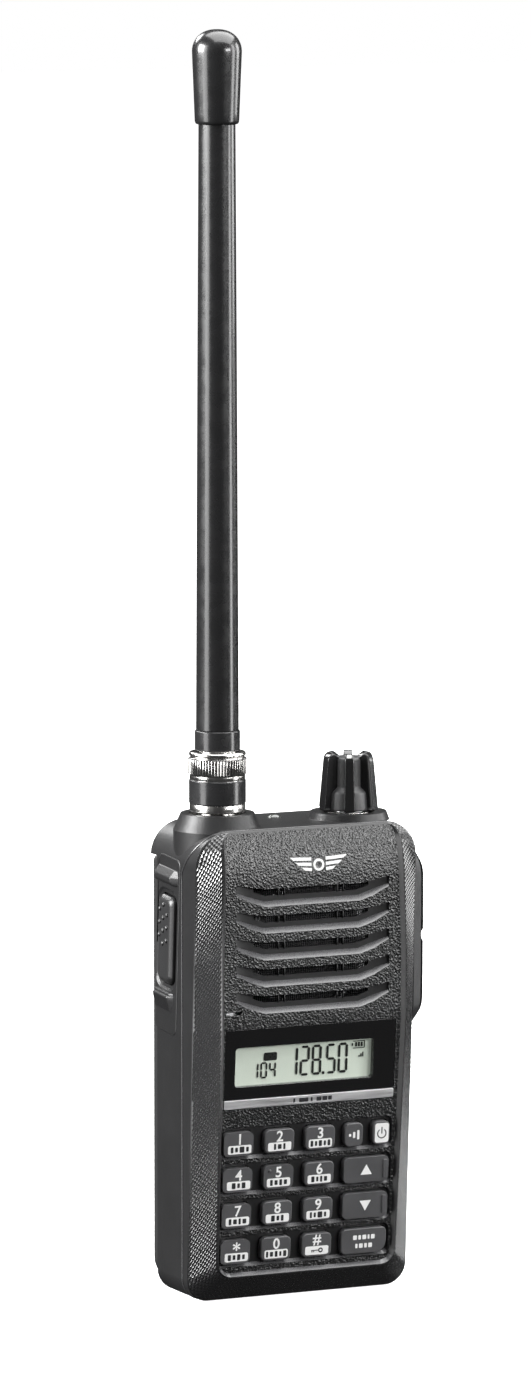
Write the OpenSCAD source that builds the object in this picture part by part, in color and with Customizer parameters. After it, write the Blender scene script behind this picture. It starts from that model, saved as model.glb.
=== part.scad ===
// Handheld aviation radio: a compact VHF transceiver with a bayonet whip antenna.
// Millimetres. +Z is up, the keypad faces -Y, +X is to the right seen from the front.
// The origin is on the resting face, below the middle of the body.

/* [Body] */
// Width of the chassis across its flat sides
body_w = 58.6; // [56:0.2:62]
// Height of the body without the knob and the antenna
body_h = 114.4; // [112:0.2:118]
// Distance from the middle plane to the front of the grille, and to the back of the battery
half_d = 15.25; // [15:0.05:16]
// Corner radius at the top of the body
top_r = 8.5; // [7:0.5:9.5]
// Corner radius at the bottom of the body
bottom_r = 5.5; // [4.5:0.5:7]
// Wall thickness of the front cover and the chassis
wall = 2.0; // [1.8:0.1:2.2]

/* [Front face] */
// Height of the bend between the grille and the sloping display and keypad
knee_z = 67.2; // [66:0.2:68]
// Angle by which the display and keypad lean back
face_tilt = 4.3; // [3.5:0.1:5]
// Half the width of the front face at its widest, between the two knurled flanks
face_half_w = 24.3; // [24:0.1:24.6]
// Half the width of the front face at its top and bottom ends
face_end_half_w = 23.5; // [23.3:0.1:24]
// How deep the face is sunk between the flanks
face_sink = 1.0; // [0.8:0.1:1.2]
// Height above which the face rolls back
roll_z = 101; // [100:0.5:103]
// Radius of that roll
roll_r = 36; // [30:1:45]

/* [Keys] */
// Height of a number key
key_h = 5.8; // [5.4:0.1:6.2]
// Width of a number key
key_w = 7.8; // [7.4:0.1:8.2]
// Distance between two rows of keys along the face
row_pitch = 8.86; // [8.6:0.02:9]
// How far a key stands out of the face
key_proud = 0.9; // [0.4:0.1:1]
// How far a key can be pressed in
key_travel = 0.7; // [0.4:0.1:0.8]

/* [Grille] */
// Distance between two louvre slots
louvre_pitch = 6.45; // [6.3:0.05:6.5]
// Number of louvre slots
louvre_count = 5; // [3:1:5]

/* [Antenna] */
// Top of the antenna above the resting face
antenna_top = 304.8; // [250:0.2:310]
// Distance of the antenna's axis from the middle of the body
antenna_x = -18.6; // [-19:0.1:-18]
// Diameter of the bayonet jack's barrel
jack_d = 9.6; // [9.5:0.05:9.7]

/* [Knob] */
// Distance of the knob's axis from the middle of the body
knob_x = 16.35; // [16:0.05:17]
// Diameter of the knob over its ribs at the bottom
knob_d = 15; // [14:0.2:15.4]
// Number of ribs round the knob
knob_ribs = 6; // [5:1:8]

/* [Hidden] */
$fn = 64;
half_w = body_w / 2;
eps = 0.01;

// Where the front cover ends and the chassis begins, at the sides and along the top
part_y = -2.8;
part_turn_z = 104;
part_slope = 0.79;
gasket_t = 0.4;

// The sloping line on each side where the knurled flank meets the side face
flank_y0 = -5.2;
flank_slope = 0.0507;

// The middle wall of the chassis, the battery bay behind it and the pockets above it
web_y0 = 4.0;
web_y1 = 5.2;
bay_half_w = 24.6;
bay_z0 = 2.2;
bay_z1 = 102.8;
pack_y = 11.8;
pocket_z0 = 103.5;
top_wall_z = body_h - 2.2;
hump_z = 106.4;

// Case screws: two columns at two heights
screw_x = 23.8;
screw_z = [5.2, 98];
post_r = 2.4;

// Display window, strip and the glass behind them, measured down the sloping face
window_x = [-23.1, 22.3];
window_z = [-17.5, -0.3];
strip_z = [-19.9, -17.6];
glass_x = [-20.2, 16.5];
glass_z = [-14.5, -4.9];

// Keys: name, middle x, row, width, height
wide_w = 12.0;
wide_h = 6.3;
columns = [-19.15, -8.25, 2.6];
wide_x = 15.2;
first_row = -28.3;
KEYS = [
    ["1", columns[0], 0, key_w, key_h],
    ["2", columns[1], 0, key_w, key_h],
    ["3", columns[2], 0, key_w, key_h],
    ["monitor", 11.6, 0, 4.8, key_h],
    ["power", 18.9, 0, 4.5, key_h],
    ["4", columns[0], 1, key_w, key_h],
    ["5", columns[1], 1, key_w, key_h],
    ["6", columns[2], 1, key_w, key_h],
    ["up", wide_x, 1, wide_w, wide_h],
    ["7", columns[0], 2, key_w, key_h],
    ["8", columns[1], 2, key_w, key_h],
    ["9", columns[2], 2, key_w, key_h],
    ["down", wide_x, 2, wide_w, wide_h],
    ["star", columns[0], 3, key_w, key_h],
    ["0", columns[1], 3, key_w, key_h],
    ["hash", columns[2], 3, key_w, key_h],
    ["mode", wide_x, 3, wide_w, wide_h],
];
key_gap = 0.2;
key_corner = 1.3;
channel_depth = 0.8;
key_back = 2.7;
flange_half_w = 22.3;
mat_y = key_back + key_travel + 0.4;
shell_front = 3.0;
widest_z = 84;
bend_gap = 0.4;

// Push-to-talk button on the left side
ptt_y = 5.8;
ptt_z = 86.8;
ptt_w = 8.0;
ptt_h = 21.4;
ptt_lean = 3.6;
ptt_face_x = -30.2;

// Jack sockets on the right side, behind the cover
socket_y = 0.6;
speaker_socket_z = 90;
mic_socket_z = 78;
speaker_socket_r = 1.8;
mic_socket_r = 1.3;
socket_depth = 12;
cover_gap = 0.2;

// Hinge bead of the jack cover
hinge = [29.9, 10.2];
hinge_r = 0.5;
hinge_z = [72, 98];

// Middle of the status lamp on the top
lamp = [0.1, 7.5];

// Heights along the antenna
jack_top = 126.0;
ring_z0 = 117.9;
ring_top = 132.4;
knurl_z = [127.0, 130.9];
sleeve_z = [119.95, 125.65];
lug_z = 122.5;
lug_r = 0.95;
ferrule_z = [132.7, 137.5];
cap_z = 282.3;

// Belt-clip holes in the back
clip_x = 12;
clip_z = 110.4;
clip_r = 1.25;
clip_depth = 6;

// ---- shared shapes ----

function arc(cx, cy, r, a0, n = 7) = [for (i = [0:n]) [cx + r * cos(a0 + 90 * i / n), cy + r * sin(a0 + 90 * i / n)]];

// A rectangle with one radius at the top corners and one at the bottom corners
function rounded(x0, z0, x1, z1, rt, rb) = concat(
    arc(x1 - rt, z1 - rt, rt, 0),
    arc(x0 + rt, z1 - rt, rt, 90),
    arc(x0 + rb, z0 + rb, rb, 180),
    arc(x1 - rb, z0 + rb, rb, 270)
);

function body_outline(inset) = rounded(
    -half_w + inset, inset, half_w - inset, body_h - inset, top_r - inset * 0.7, bottom_r - inset * 0.7
);

// The parting line seen from the side, from the middle of the side up and forward to the top edge
function part_line_y(z) = part_y - part_slope * max(0, z - part_turn_z);

// Extrudes an outline drawn in X and Z from y0 to y1
module slab(y0, y1, pts) {
    translate([0, y1, 0])
        rotate([90, 0, 0])
            linear_extrude(y1 - y0)
                polygon(pts);
}

// Extrudes an outline drawn in Y and Z across the body from x0 to x1
module side_slab(x0, x1, pts) {
    translate([x0, 0, 0])
        rotate([90, 0, 90])
            linear_extrude(x1 - x0)
                polygon(pts);
}

module box(x, y, z) {
    translate([x[0], y[0], z[0]])
        cube([x[1] - x[0], y[1] - y[0], z[1] - z[0]]);
}

module tube(z0, z1, r_out, r_in) {
    difference() {
        translate([0, 0, z0]) cylinder(h = z1 - z0, r = r_out);
        translate([0, 0, z0 - 1]) cylinder(h = z1 - z0 + 2, r = r_in);
    }
}

// Leans things back about the bend: y = 0 is the plane of the ridge round the sloping face
module on_slope() {
    translate([0, -half_d, knee_z])
        rotate([face_tilt, 0, 0])
            children();
}

// The same for things on the sunken face: y = 0 is its surface
module on_face() {
    on_slope()
        translate([0, face_sink, 0])
            children();
}

module at_antenna() {
    translate([antenna_x, 0, 0]) children();
}

module at_knob() {
    translate([knob_x, 0, 0]) children();
}

// Everything behind the parting surface, moved back by a gap
module behind_parting(gap) {
    side_slab(-half_w - 5, half_w + 5, [
        [part_y + gap, -5],
        [part_y + gap, part_turn_z],
        [part_line_y(body_h + 4) + gap, body_h + 4],
        [half_d + 5, body_h + 4],
        [half_d + 5, -5],
    ]);
}

// ---- front cover and what it carries ----

// Half the width of the face at its upper levels
function face_half(z) = face_half_w - (face_half_w - face_end_half_w) * (z - widest_z) / (corner_z - widest_z);

// The outline of the upright part of the face, t inside the ridge and reaching past the bend by sink
function upper_face(t, sink = 0) = [
    [face_half_w - t, knee_z - sink],
    [face_half_w - t, widest_z],
    [face_half(roll_z) - t, roll_z],
    [t - face_half(roll_z), roll_z],
    [t - face_half_w, widest_z],
    [t - face_half_w, knee_z - sink],
];

// How far the face has rolled back at a height
function roll_back(z) = pow(max(0, z - roll_z), 2) / (2 * roll_r);

// Levels of the rolled part, each with its half width
corner_z = 109.9;
ROLL = [[105.5, face_half(105.5)], [corner_z, face_end_half_w], [113.6, face_end_half_w - 2.5]];

// The outline of the sloping part, measured from the bend
function lower_face(t, sink = 0) = concat(
    [[face_half_w - t, sink - bend_gap], [t - face_half_w, sink - bend_gap]],
    arc(3.5 - face_end_half_w, 9.9 - knee_z, 3.5 - t, 180),
    arc(face_end_half_w - 3.5, 9.9 - knee_z, 3.5 - t, 270)
);

// The bent, bevelled front with its knurled flanks, drawn t inside its sides and front_t inside its face
module cover_form(t, front_t) {
    hull() {
        slab(1.9, 2, body_outline(t));
        multmatrix([[1, 0, 0, 0], [0, 1, -flank_slope, flank_y0 + t], [0, 0, 1, 0], [0, 0, 0, 1]])
            slab(0, 0.1, body_outline(t));
        slab(-half_d + front_t, -half_d + front_t + 0.1, upper_face(t * 0.4));
        for (level = ROLL)
            translate([0, -half_d + front_t + roll_back(level[0]), level[0] - t * 1.5])
                box([t * 0.4 - level[1], level[1] - t * 0.4], [0, 0.1], [-0.1, 0]);
        on_slope()
            slab(front_t, front_t + 0.1, lower_face(t * 0.4));
    }
}

// What is cut away to sink the rolled part of the face
module rolled_sink() {
    levels = concat([roll_z - eps], [for (level = ROLL) level[0]], [body_h + 2]);
    intersection() {
        slab(-half_d - 1, 0, [
            [face_half(roll_z) - 0.8, roll_z - eps], [face_end_half_w - 0.8, corner_z],
            [face_end_half_w - 3.3, 113.6], [face_end_half_w - 3.3, body_h + 2],
            [3.3 - face_end_half_w, body_h + 2], [3.3 - face_end_half_w, 113.6],
            [0.8 - face_end_half_w, corner_z], [0.8 - face_half(roll_z), roll_z - eps],
        ]);
        side_slab(-half_w, half_w, concat(
            [[-half_d - 2, body_h + 2], [-half_d - 2, roll_z - eps]],
            [for (z = levels) [-half_d + face_sink + roll_back(z), z]]
        ));
    }
}

// One louvre: a shallow shelf with the sound opening in its upper half
louvre_end = 20.7;
louvre_mid = 16.45;
louvre_flat = 12.7;

module louvre(top_z) {
    recess = [
        [louvre_flat, top_z - 3.05], [louvre_mid, top_z - 1.9], [louvre_end - 0.1, top_z - 0.75],
        [louvre_end, top_z + 1.35], [louvre_flat + 1.2, top_z], [-louvre_flat - 1.2, top_z],
        [-louvre_end, top_z + 1.35], [-louvre_end + 0.1, top_z - 0.75], [-louvre_mid, top_z - 1.9],
        [-louvre_flat, top_z - 3.05],
    ];
    opening = [
        [louvre_flat - 1, top_z - 1.8], [louvre_mid - 1, top_z - 0.7], [louvre_mid - 1, top_z + 0.3],
        [louvre_flat + 1.2, top_z], [-louvre_flat - 1.2, top_z], [-louvre_mid + 1, top_z + 0.3],
        [-louvre_mid + 1, top_z - 0.7], [-louvre_flat + 1, top_z - 1.8],
    ];
    slab(-half_d - 1, -half_d + face_sink + 0.9, recess);
    slab(-half_d - 1, -half_d + shell_front + 1, opening);
}

module front_cover() {
    color([0.13, 0.13, 0.14])
    difference() {
        union() {
            difference() {
                cover_form(0, 0);
                cover_form(wall, shell_front);
                behind_parting(-gasket_t);
            }
            for (side = [-1, 1], z = screw_z)
                intersection() {
                    translate([side * screw_x, part_y - gasket_t, z])
                        rotate([90, 0, 0])
                            union() {
                                cylinder(h = 4, r = post_r);
                                translate([side > 0 ? 0 : -4.2, -1, 0])
                                    cube([4.2, 2, 4]);
                            }
                    boss_space();
                }
        }
        // Sunken face
        slab(-half_d - 1, -half_d + face_sink, upper_face(0.8, 0.05));
        rolled_sink();
        on_slope()
            slab(-1, face_sink, lower_face(0.8, bend_gap));
        for (i = [0:louvre_count - 1])
            louvre(100.46 - i * louvre_pitch);
        // Microphone slot at the left edge of the face
        slab(-half_d - 1, -half_d + 4, [[-23.0, 70.5], [-19.2, 70.5], [-18.7, 71.3], [-23.0, 71.1]]);
        on_face() {
            box(window_x, [-1, 5], window_z);
            box(window_x, [-1, 0.9], strip_z);
            for (row = [0:3])
                slab(-1, channel_depth, rounded(
                    -23.4, first_row - row * row_pitch - 3.6, 22.2, first_row - row * row_pitch + 3.6, 1.2, 1.2));
            for (k = KEYS)
                slab(-1, 5, key_outline(k, key_gap));
        }
        for (side = [-1, 1], z = screw_z)
            translate([side * screw_x, 0, z])
                rotate([90, 0, 0])
                    cylinder(h = 6.9, r = 1.1);
    }
}

// The part of the cover's inside that screw bosses may fill
module boss_space() {
    box([-28.4, 28.4], [-9, part_y - gasket_t], [0, body_h]);
}

module display_window() {
    color([0.03, 0.03, 0.03])
    on_face()
        difference() {
            slab(0.05, 1.5, rounded(
                window_x[0] + 0.1, window_z[0] + 0.1, window_x[1] - 0.1, window_z[1] - 0.1, 0.6, 0.4));
            slab(0.6, 2, rounded(glass_x[0], glass_z[0], glass_x[1], glass_z[1], 0.8, 0.8));
        }
}

module trim_strip() {
    color([0.6, 0.61, 0.62])
    on_face()
        slab(-0.05, 0.85, rounded(
            window_x[0] + 0.1, strip_z[0] + 0.1, window_x[1] - 0.1, strip_z[1] - 0.05, 0.3, 0.3));
}

module lcd_panel() {
    color([0.72, 0.77, 0.71])
    on_face()
        box([glass_x[0] - 0.6, glass_x[1] + 0.6], [1.6, 3.2], [glass_z[0] - 1, glass_z[1] + 1]);
}

module lcd_backlight() {
    color([0.95, 0.95, 0.92])
    on_face()
        box([glass_x[0] - 0.6, glass_x[1] + 0.6], [3.3, 5.6], [glass_z[0] - 1, glass_z[1] + 1]);
}

module speaker_mesh() {
    color([0.08, 0.08, 0.08])
    box([-18.5, 18.5], [-half_d + shell_front + 0.05, -half_d + shell_front + 0.35], [69.4, roll_z]);
}

module speaker_frame() {
    color([0.45, 0.45, 0.47])
    translate([0, -11.8, 86])
        rotate([-90, 0, 0])
            difference() {
                union() {
                    cylinder(h = 1.2, r = 16);
                    translate([0, 0, 1.2]) cylinder(h = 3, r1 = 15, r2 = 9);
                    translate([0, 0, 4.2]) cylinder(h = 2.6, r = 7.5);
                }
                translate([0, 0, -1]) cylinder(h = 1.6, r = 14.4);
                translate([0, 0, 0.5]) cylinder(h = 3, r1 = 13.9, r2 = 8);
            }
}

module speaker_cone() {
    color([0.12, 0.12, 0.12])
    translate([0, -11.7, 86])
        rotate([-90, 0, 0])
            rotate_extrude()
                polygon([[0, 1.6], [3.5, 2.4], [4.5, 2.6], [13.2, 0.1], [14.2, 0.1], [14.2, 0.4], [13.3, 0.4],
                         [4.5, 2.9], [3.4, 2.7], [0, 1.9]]);
}

module microphone() {
    color([0.7, 0.7, 0.68])
    translate([-21.0, -12.1, 70.8])
        rotate([-90, 0, 0])
            cylinder(h = 2.4, r = 1.9);
}

module key_mat() {
    color([0.2, 0.2, 0.21])
    on_face()
        difference() {
            slab(mat_y, mat_y + 1, rounded(-21.2, -60.5, 21.2, -22.5, 1, 1));
            for (side = [-1, 1])
                translate([side * 19.5, 0, -24.2])
                    rotate([-90, 0, 0])
                        cylinder(h = 10, r = 0.8);
        }
}

module keypad_board() {
    color([0.1, 0.32, 0.18])
    on_face()
        slab(mat_y + 1.1, mat_y + 2.1, rounded(-21.2, -60.5, 21.2, -22.0, 0.6, 0.6));
}

// ---- keys ----

// The outline of a key, grown by a gap; the mode key has one large corner to follow the face's own
function key_outline(k, grow) =
    let (
        x0 = k[1] - k[3] / 2 - grow,
        x1 = k[1] + k[3] / 2 + grow,
        zc = first_row - k[2] * row_pitch,
        z0 = zc - k[4] / 2 - grow,
        z1 = zc + k[4] / 2 + grow,
        r = key_corner + grow,
        big = (k[0] == "mode" ? 2.8 : key_corner) + grow
    )
    concat(
        arc(x1 - r, z1 - r, r, 0),
        arc(x0 + r, z1 - r, r, 90),
        arc(x0 + r, z0 + r, r, 180),
        arc(x1 - big, z0 + big, big, 270)
    );

module key_cap(k) {
    color(k[0] == "power" ? [0.92, 0.92, 0.92] : [0.2, 0.2, 0.21])
    on_face()
        union() {
            slab(-key_proud, key_back, key_outline(k, 0));
            // Flange that keeps the key in, left off where the side wall is
            intersection() {
                slab(key_back - 0.5, key_back, key_outline(k, 0.6));
                box([-flange_half_w, flange_half_w], [0, key_back], [-70, 0]);
            }
            // Ridge at the right end of the tuning keys
            if (k[0] == "up" || k[0] == "down")
                box([k[1] + k[3] / 2 - 1.5, k[1] + k[3] / 2 - 0.6], [-key_proud - 0.35, 0],
                    [first_row - k[2] * row_pitch - 2.2, first_row - k[2] * row_pitch + 2.2]);
            // Locating dot on the middle key
            if (k[0] == "5")
                translate([k[1] - 2.4, -key_proud, first_row - k[2] * row_pitch + 1.7])
                    sphere(r = 0.4);
        }
}

// ---- chassis and what it carries ----

module body_gasket() {
    color([0.05, 0.05, 0.05])
    intersection() {
        difference() {
            slab(-half_d, half_d, body_outline(0.5));
            slab(-half_d - 1, half_d + 1, body_outline(1.9));
        }
        difference() {
            behind_parting(-gasket_t + 0.02);
            behind_parting(-0.02);
        }
    }
}

module screw_post(side, z) {
    translate([side * screw_x, web_y0 + eps, z])
        rotate([90, 0, 0])
            cylinder(h = web_y0 - part_y + eps, r = post_r);
}

module chassis() {
    color([0.15, 0.15, 0.16])
    difference() {
        union() {
            difference() {
                intersection() {
                    union() {
                        slab(-half_d, 11.6, body_outline(0));
                        intersection() {
                            slab(-half_d, half_d, body_outline(0));
                            box([-half_w, half_w], [11, half_d], [hump_z, body_h]);
                        }
                    }
                    behind_parting(0);
                }
                // Electronics space in front of the middle wall
                slab(-half_d - 1, web_y0, body_outline(wall));
                // Battery bay behind it
                box([-bay_half_w, bay_half_w], [web_y1, half_d + 1], [bay_z0, bay_z1]);
            }
            for (side = [-1, 1], z = screw_z)
                screw_post(side, z);
            // Raised collars round the antenna and the knob
            at_antenna() {
                translate([0, 0, body_h - 0.8]) cylinder(h = 0.8 + 3.2, r1 = 10.6, r2 = 8.9);
                translate([0, 0, 106]) cylinder(h = body_h - 106, r = 9.3);
            }
            at_knob()
                translate([0, 0, body_h - 0.4]) cylinder(h = 2.0, r1 = 9.9, r2 = 9.2);
        }
        // Antenna jack: stem bore, flange recess and the pocket for its nut
        at_antenna() {
            translate([0, 0, 100]) cylinder(h = 30, r = 4.8);
            translate([0, 0, 116.0]) cylinder(h = 10, r = 6.9);
            translate([0, 0, pocket_z0]) cylinder(h = top_wall_z - pocket_z0, r = 8.4);
        }
        // Encoder: bushing bore, nut recess and the pocket for its body
        at_knob() {
            translate([0, 0, 105]) cylinder(h = 20, r = 3.6);
            translate([0, 0, 114.6]) cylinder(h = 10, r = 6.4);
            box([-6.4, 6.4], [-6.4, 6.4], [pocket_z0, top_wall_z]);
        }
        // Status lamp
        translate([lamp[0], lamp[1], 105]) cylinder(h = 20, r = 1.8);
        // Case screws
        for (side = [-1, 1], z = screw_z)
            translate([side * screw_x, 12, z])
                rotate([90, 0, 0]) {
                    cylinder(h = 20, r = 1.15);
                    cylinder(h = 12 - 3.8, r = 2.15);
                }
        // Push-to-talk plate, button and switch
        ptt_place() {
            slab_x(-half_w - 1, -28.6, bezel_outline(0.1));
            slab_x(-28.7, -26.8, ptt_outline(1.1));
        }
        box([-26.9, -25.0], [3.6, 8.4], [83.6, 90.4]);
        // Jack sockets
        box([15, half_w + 1], [socket_y - 3.1, socket_y + 3.1], [speaker_socket_z - 3.1, speaker_socket_z + 3.1]);
        box([15, half_w + 1], [socket_y - 3.1, socket_y + 3.1], [mic_socket_z - 3.1, mic_socket_z + 3.1]);
        // Belt-clip holes
        for (side = [-1, 1])
            translate([side * clip_x, half_d + 1, clip_z])
                rotate([90, 0, 0])
                    cylinder(h = clip_depth + 1, r = clip_r);
        // Catch for the battery latch
        box([-4.3, 4.3], [12.6, half_d + 1], [hump_z - 1, 108]);
    }
}

module main_board() {
    color([0.1, 0.32, 0.18])
    difference() {
        box([-26, 13.5], [2.3, 3.6], [3.5, 101.5]);
        for (side = [-1, 1], z = screw_z)
            translate([side * screw_x, 10, z])
                rotate([90, 0, 0])
                    cylinder(h = 20, r = post_r + 0.3);
    }
}

module shield_can() {
    color([0.7, 0.7, 0.72])
    difference() {
        box([-19, 11], [-0.4, 2.3], [14, 54]);
        box([-18.7, 10.7], [-0.1, 2.4], [14.3, 53.7]);
    }
}

module status_led() {
    color([0.55, 0.6, 0.5])
    translate([lamp[0], lamp[1], 0])
        union() {
            translate([0, 0, 112]) cylinder(h = 2.6, r = 1.75);
            intersection() {
                translate([0, 0, 113.0]) sphere(r = 2.2);
                translate([0, 0, 114.5]) cylinder(h = 2, r = 1.7);
            }
        }
}

module case_screws() {
    color([0.5, 0.5, 0.52])
    for (side = [-1, 1], z = screw_z)
        translate([side * screw_x, 5.1, z])
            rotate([90, 0, 0])
                difference() {
                    union() {
                        cylinder(h = 1.3, r = 2.0);
                        translate([0, 0, 1.2]) cylinder(h = 10.6, r = 1.08);
                    }
                    box([-1.2, 1.2], [-0.2, 0.2], [-1, 0.7]);
                    box([-0.2, 0.2], [-1.2, 1.2], [-1, 0.7]);
                }
}

// ---- push-to-talk ----

// The button and its plate lean with the edge of the body
module ptt_place() {
    translate([0, ptt_y, ptt_z])
        rotate([ptt_lean, 0, 0])
            children();
}

module slab_x(x0, x1, pts) {
    translate([x0, 0, 0])
        rotate([90, 0, 90])
            linear_extrude(x1 - x0)
                polygon(pts);
}

function ptt_outline(grow) = rounded(
    -ptt_w / 2 - grow, -ptt_h / 2 - grow, ptt_w / 2 + grow, ptt_h / 2 + grow, 2.0 + grow, 1.6 + grow
);

function bezel_outline(grow) = rounded(-6.6 - grow, -21 - grow, 5.6 + grow, 19.4 + grow, 1.6, 1.6);

module ptt_bezel() {
    color([0.14, 0.14, 0.15])
    ptt_place()
        difference() {
            union() {
                slab_x(-half_w, -28.7, bezel_outline(0));
                // Finger ledges above and below the button
                slab_x(-30.3, -28.7, rounded(-5.0, 13.6, 4.6, 17.0, 0.8, 0.8));
                slab_x(-30.1, -28.7, rounded(-5.0, -16.6, 4.6, -13.2, 0.8, 0.8));
            }
            slab_x(-31, -28, ptt_outline(0.3));
        }
}

module ptt_button() {
    color([0.17, 0.17, 0.18])
    ptt_place()
        union() {
            slab_x(ptt_face_x, -28.4, ptt_outline(0));
            slab_x(-28.6, -28.1, ptt_outline(0.8));
        }
}

module ptt_switch() {
    color([0.3, 0.3, 0.3])
    box([-26.6, -25.1], [3.9, 8.1], [84, 90]);
}

// ---- jacks and their cover ----

module jack_block() {
    color([0.1, 0.1, 0.1])
    difference() {
        union() {
            for (z = [speaker_socket_z, mic_socket_z])
                box([15.8, half_w - 0.3], [socket_y - 2.9, socket_y + 2.9], [z - 2.9, z + 2.9]);
            box([15.8, 20], [socket_y - 2.9, socket_y + 2.9], [mic_socket_z, speaker_socket_z]);
        }
        translate([half_w - 0.3 - socket_depth, socket_y, speaker_socket_z])
            rotate([0, 90, 0])
                cylinder(h = 20, r = speaker_socket_r);
        translate([half_w - 0.3 - socket_depth, socket_y, mic_socket_z])
            rotate([0, 90, 0])
                cylinder(h = 20, r = mic_socket_r);
    }
}

module jack_cover() {
    x0 = half_w + cover_gap;
    color([0.12, 0.12, 0.12])
    union() {
        intersection() {
            translate([0, 0, 61])
                linear_extrude(50)
                    polygon([[x0, -7.6], [32.9, -6.6], [33.6, -5.8], [33.6, 5.5], [32.8, 7.4], [30.8, 9.8], [x0, 9.8]]);
            slab(-10, 12, [
                [x0, 62.5], [30.6, 64.2], [32.9, 67.6], [33.2, 69.5], [33.2, 83.6], [33.6, 84.0], [33.6, 84.2],
                [33.1, 84.8], [33.1, 86.4], [33.6, 87], [33.6, 101], [33.0, 103.2], [31.2, 106.3], [x0, 108.6],
            ]);
        }
        translate([hinge[0], hinge[1], hinge_z[0]])
            cylinder(h = hinge_z[1] - hinge_z[0], r = hinge_r);
    }
}

// ---- knob ----

module volume_knob() {
    base_z = 116.5;
    top_z = 130.2;
    rib_w = 2.6;
    knob_turn = -24;
    color([0.1, 0.1, 0.1])
    at_knob()
        difference() {
            union() {
                rotate_extrude()
                    polygon([[0, base_z], [5.9, base_z], [5.5, 120.6], [4.1, 122], [3.9, 128.6], [3.2, 129.4],
                             [0, 129.8]]);
                for (i = [0:knob_ribs - 1])
                    rotate([90, 0, -90 + knob_turn + i * 360 / knob_ribs])
                        translate([0, 0, -rib_w / 2])
                            linear_extrude(rib_w)
                                polygon([[0, base_z], [knob_d / 2, base_z], [6.15, 129.2], [5.7, 129.9],
                                         [5.0, top_z], [0, top_z]]);
            }
            translate([0, 0, 110]) cylinder(h = 17, r = 3.0);
        }
}

module encoder_shaft() {
    color([0.72, 0.72, 0.74])
    at_knob()
        difference() {
            translate([0, 0, 108]) cylinder(h = 18.9, r = 2.98);
            box([-4, 4], [1.9, 4], [119, 128]);
        }
}

module encoder_body() {
    color([0.25, 0.25, 0.27])
    at_knob()
        difference() {
            union() {
                box([-6, 6], [-6, 6], [104, 112]);
                translate([0, 0, 111]) cylinder(h = 5.2, r = 3.5);
            }
            translate([0, 0, 107.8]) cylinder(h = 10, r = 3.04);
        }
}

module encoder_nut() {
    color([0.72, 0.72, 0.74])
    at_knob()
        difference() {
            translate([0, 0, 114.65]) cylinder(h = 1.3, r = 5.6, $fn = 6);
            translate([0, 0, 110]) cylinder(h = 8, r = 3.52);
        }
}

// ---- antenna ----

module antenna_jack() {
    color([0.78, 0.78, 0.8])
    at_antenna()
        difference() {
            union() {
                translate([0, 0, 105]) cylinder(h = 12, r = 4.75);
                translate([0, 0, 116.05]) cylinder(h = 1.4, r = 6.6);
                translate([0, 0, 117]) cylinder(h = jack_top - 117, r = jack_d / 2);
                translate([0, 0, lug_z])
                    rotate([0, 90, 0])
                        cylinder(h = 11.2, r = lug_r, center = true);
            }
            translate([0, 0, 104]) cylinder(h = 30, r = 4.15);
        }
}

module antenna_jack_nut() {
    color([0.72, 0.72, 0.74])
    at_antenna()
        difference() {
            translate([0, 0, 110]) cylinder(h = 2.1, r = 7.6, $fn = 6);
            translate([0, 0, 105]) cylinder(h = 10, r = 4.78);
        }
}

module jack_insulator() {
    color([0.95, 0.95, 0.93])
    at_antenna()
        tube(105.2, 119.4, 4.12, 1.1);
}

module jack_contact() {
    color([0.85, 0.7, 0.35])
    at_antenna()
        difference() {
            translate([0, 0, 103.8]) cylinder(h = 19, r = 1.07);
            translate([0, 0, 117]) cylinder(h = 10, r = 0.62);
        }
}

module coupling_ring() {
    teeth = 48;
    color([0.75, 0.75, 0.77])
    at_antenna()
        difference() {
            union() {
                rotate_extrude()
                    polygon([[4.5, ring_z0], [6.5, ring_z0], [6.7, ring_z0 + 0.2], [6.7, 119.9], [6.5, 119.9],
                             [6.5, 125.7], [6.65, 125.7], [6.65, 127.0], [6.95, 127.0], [6.95, 130.9],
                             [6.6, 131.5], [6.85, 131.7], [6.85, 132.1], [6.5, ring_top], [4.5, ring_top]]);
                for (i = [0:teeth - 1])
                    rotate([0, 0, i * 360 / teeth])
                        translate([6.5, -0.22, knurl_z[0]])
                            cube([0.65, 0.44, knurl_z[1] - knurl_z[0]]);
            }
            // Bore over the jack, closer bore over the plug
            translate([0, 0, ring_z0 - 1]) cylinder(h = 9.4, r = jack_d / 2 + 0.06);
            translate([0, 0, ring_z0]) cylinder(h = 20, r = 4.72);
            // Bayonet track: a quarter turn round, then straight down and out
            for (side = [0, 180])
                rotate([0, 0, side]) {
                    rotate([0, 0, -104])
                        rotate_extrude(angle = 118)
                            polygon([[4, lug_z - 1.15], [5.85, lug_z - 1.15], [5.85, lug_z + 1.15], [4, lug_z + 1.15]]);
                    rotate([0, 0, -104])
                        rotate_extrude(angle = 28)
                            polygon([[4, ring_z0 - 1], [5.85, ring_z0 - 1], [5.85, lug_z + 1.15], [4, lug_z + 1.15]]);
                }
        }
}

module coupling_sleeve() {
    color([0.09, 0.09, 0.1])
    at_antenna()
        tube(sleeve_z[0], sleeve_z[1], 6.85, 6.5);
}

module plug_shell() {
    color([0.78, 0.78, 0.8])
    at_antenna()
        difference() {
            union() {
                translate([0, 0, 120.4]) cylinder(h = 12.5, r = 4.05);
                translate([0, 0, 127.1]) cylinder(h = 7.4, r = 4.66);
            }
            translate([0, 0, 119]) cylinder(h = 13, r = 3.3);
            translate([0, 0, 119]) cylinder(h = 20, r = 1.2);
        }
}

module contact_pin() {
    color([0.85, 0.7, 0.35])
    at_antenna()
        union() {
            translate([0, 0, 119]) cylinder(h = 12, r = 0.55);
            translate([0, 0, 130.5]) cylinder(h = 4, r = 1.1);
        }
}

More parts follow.
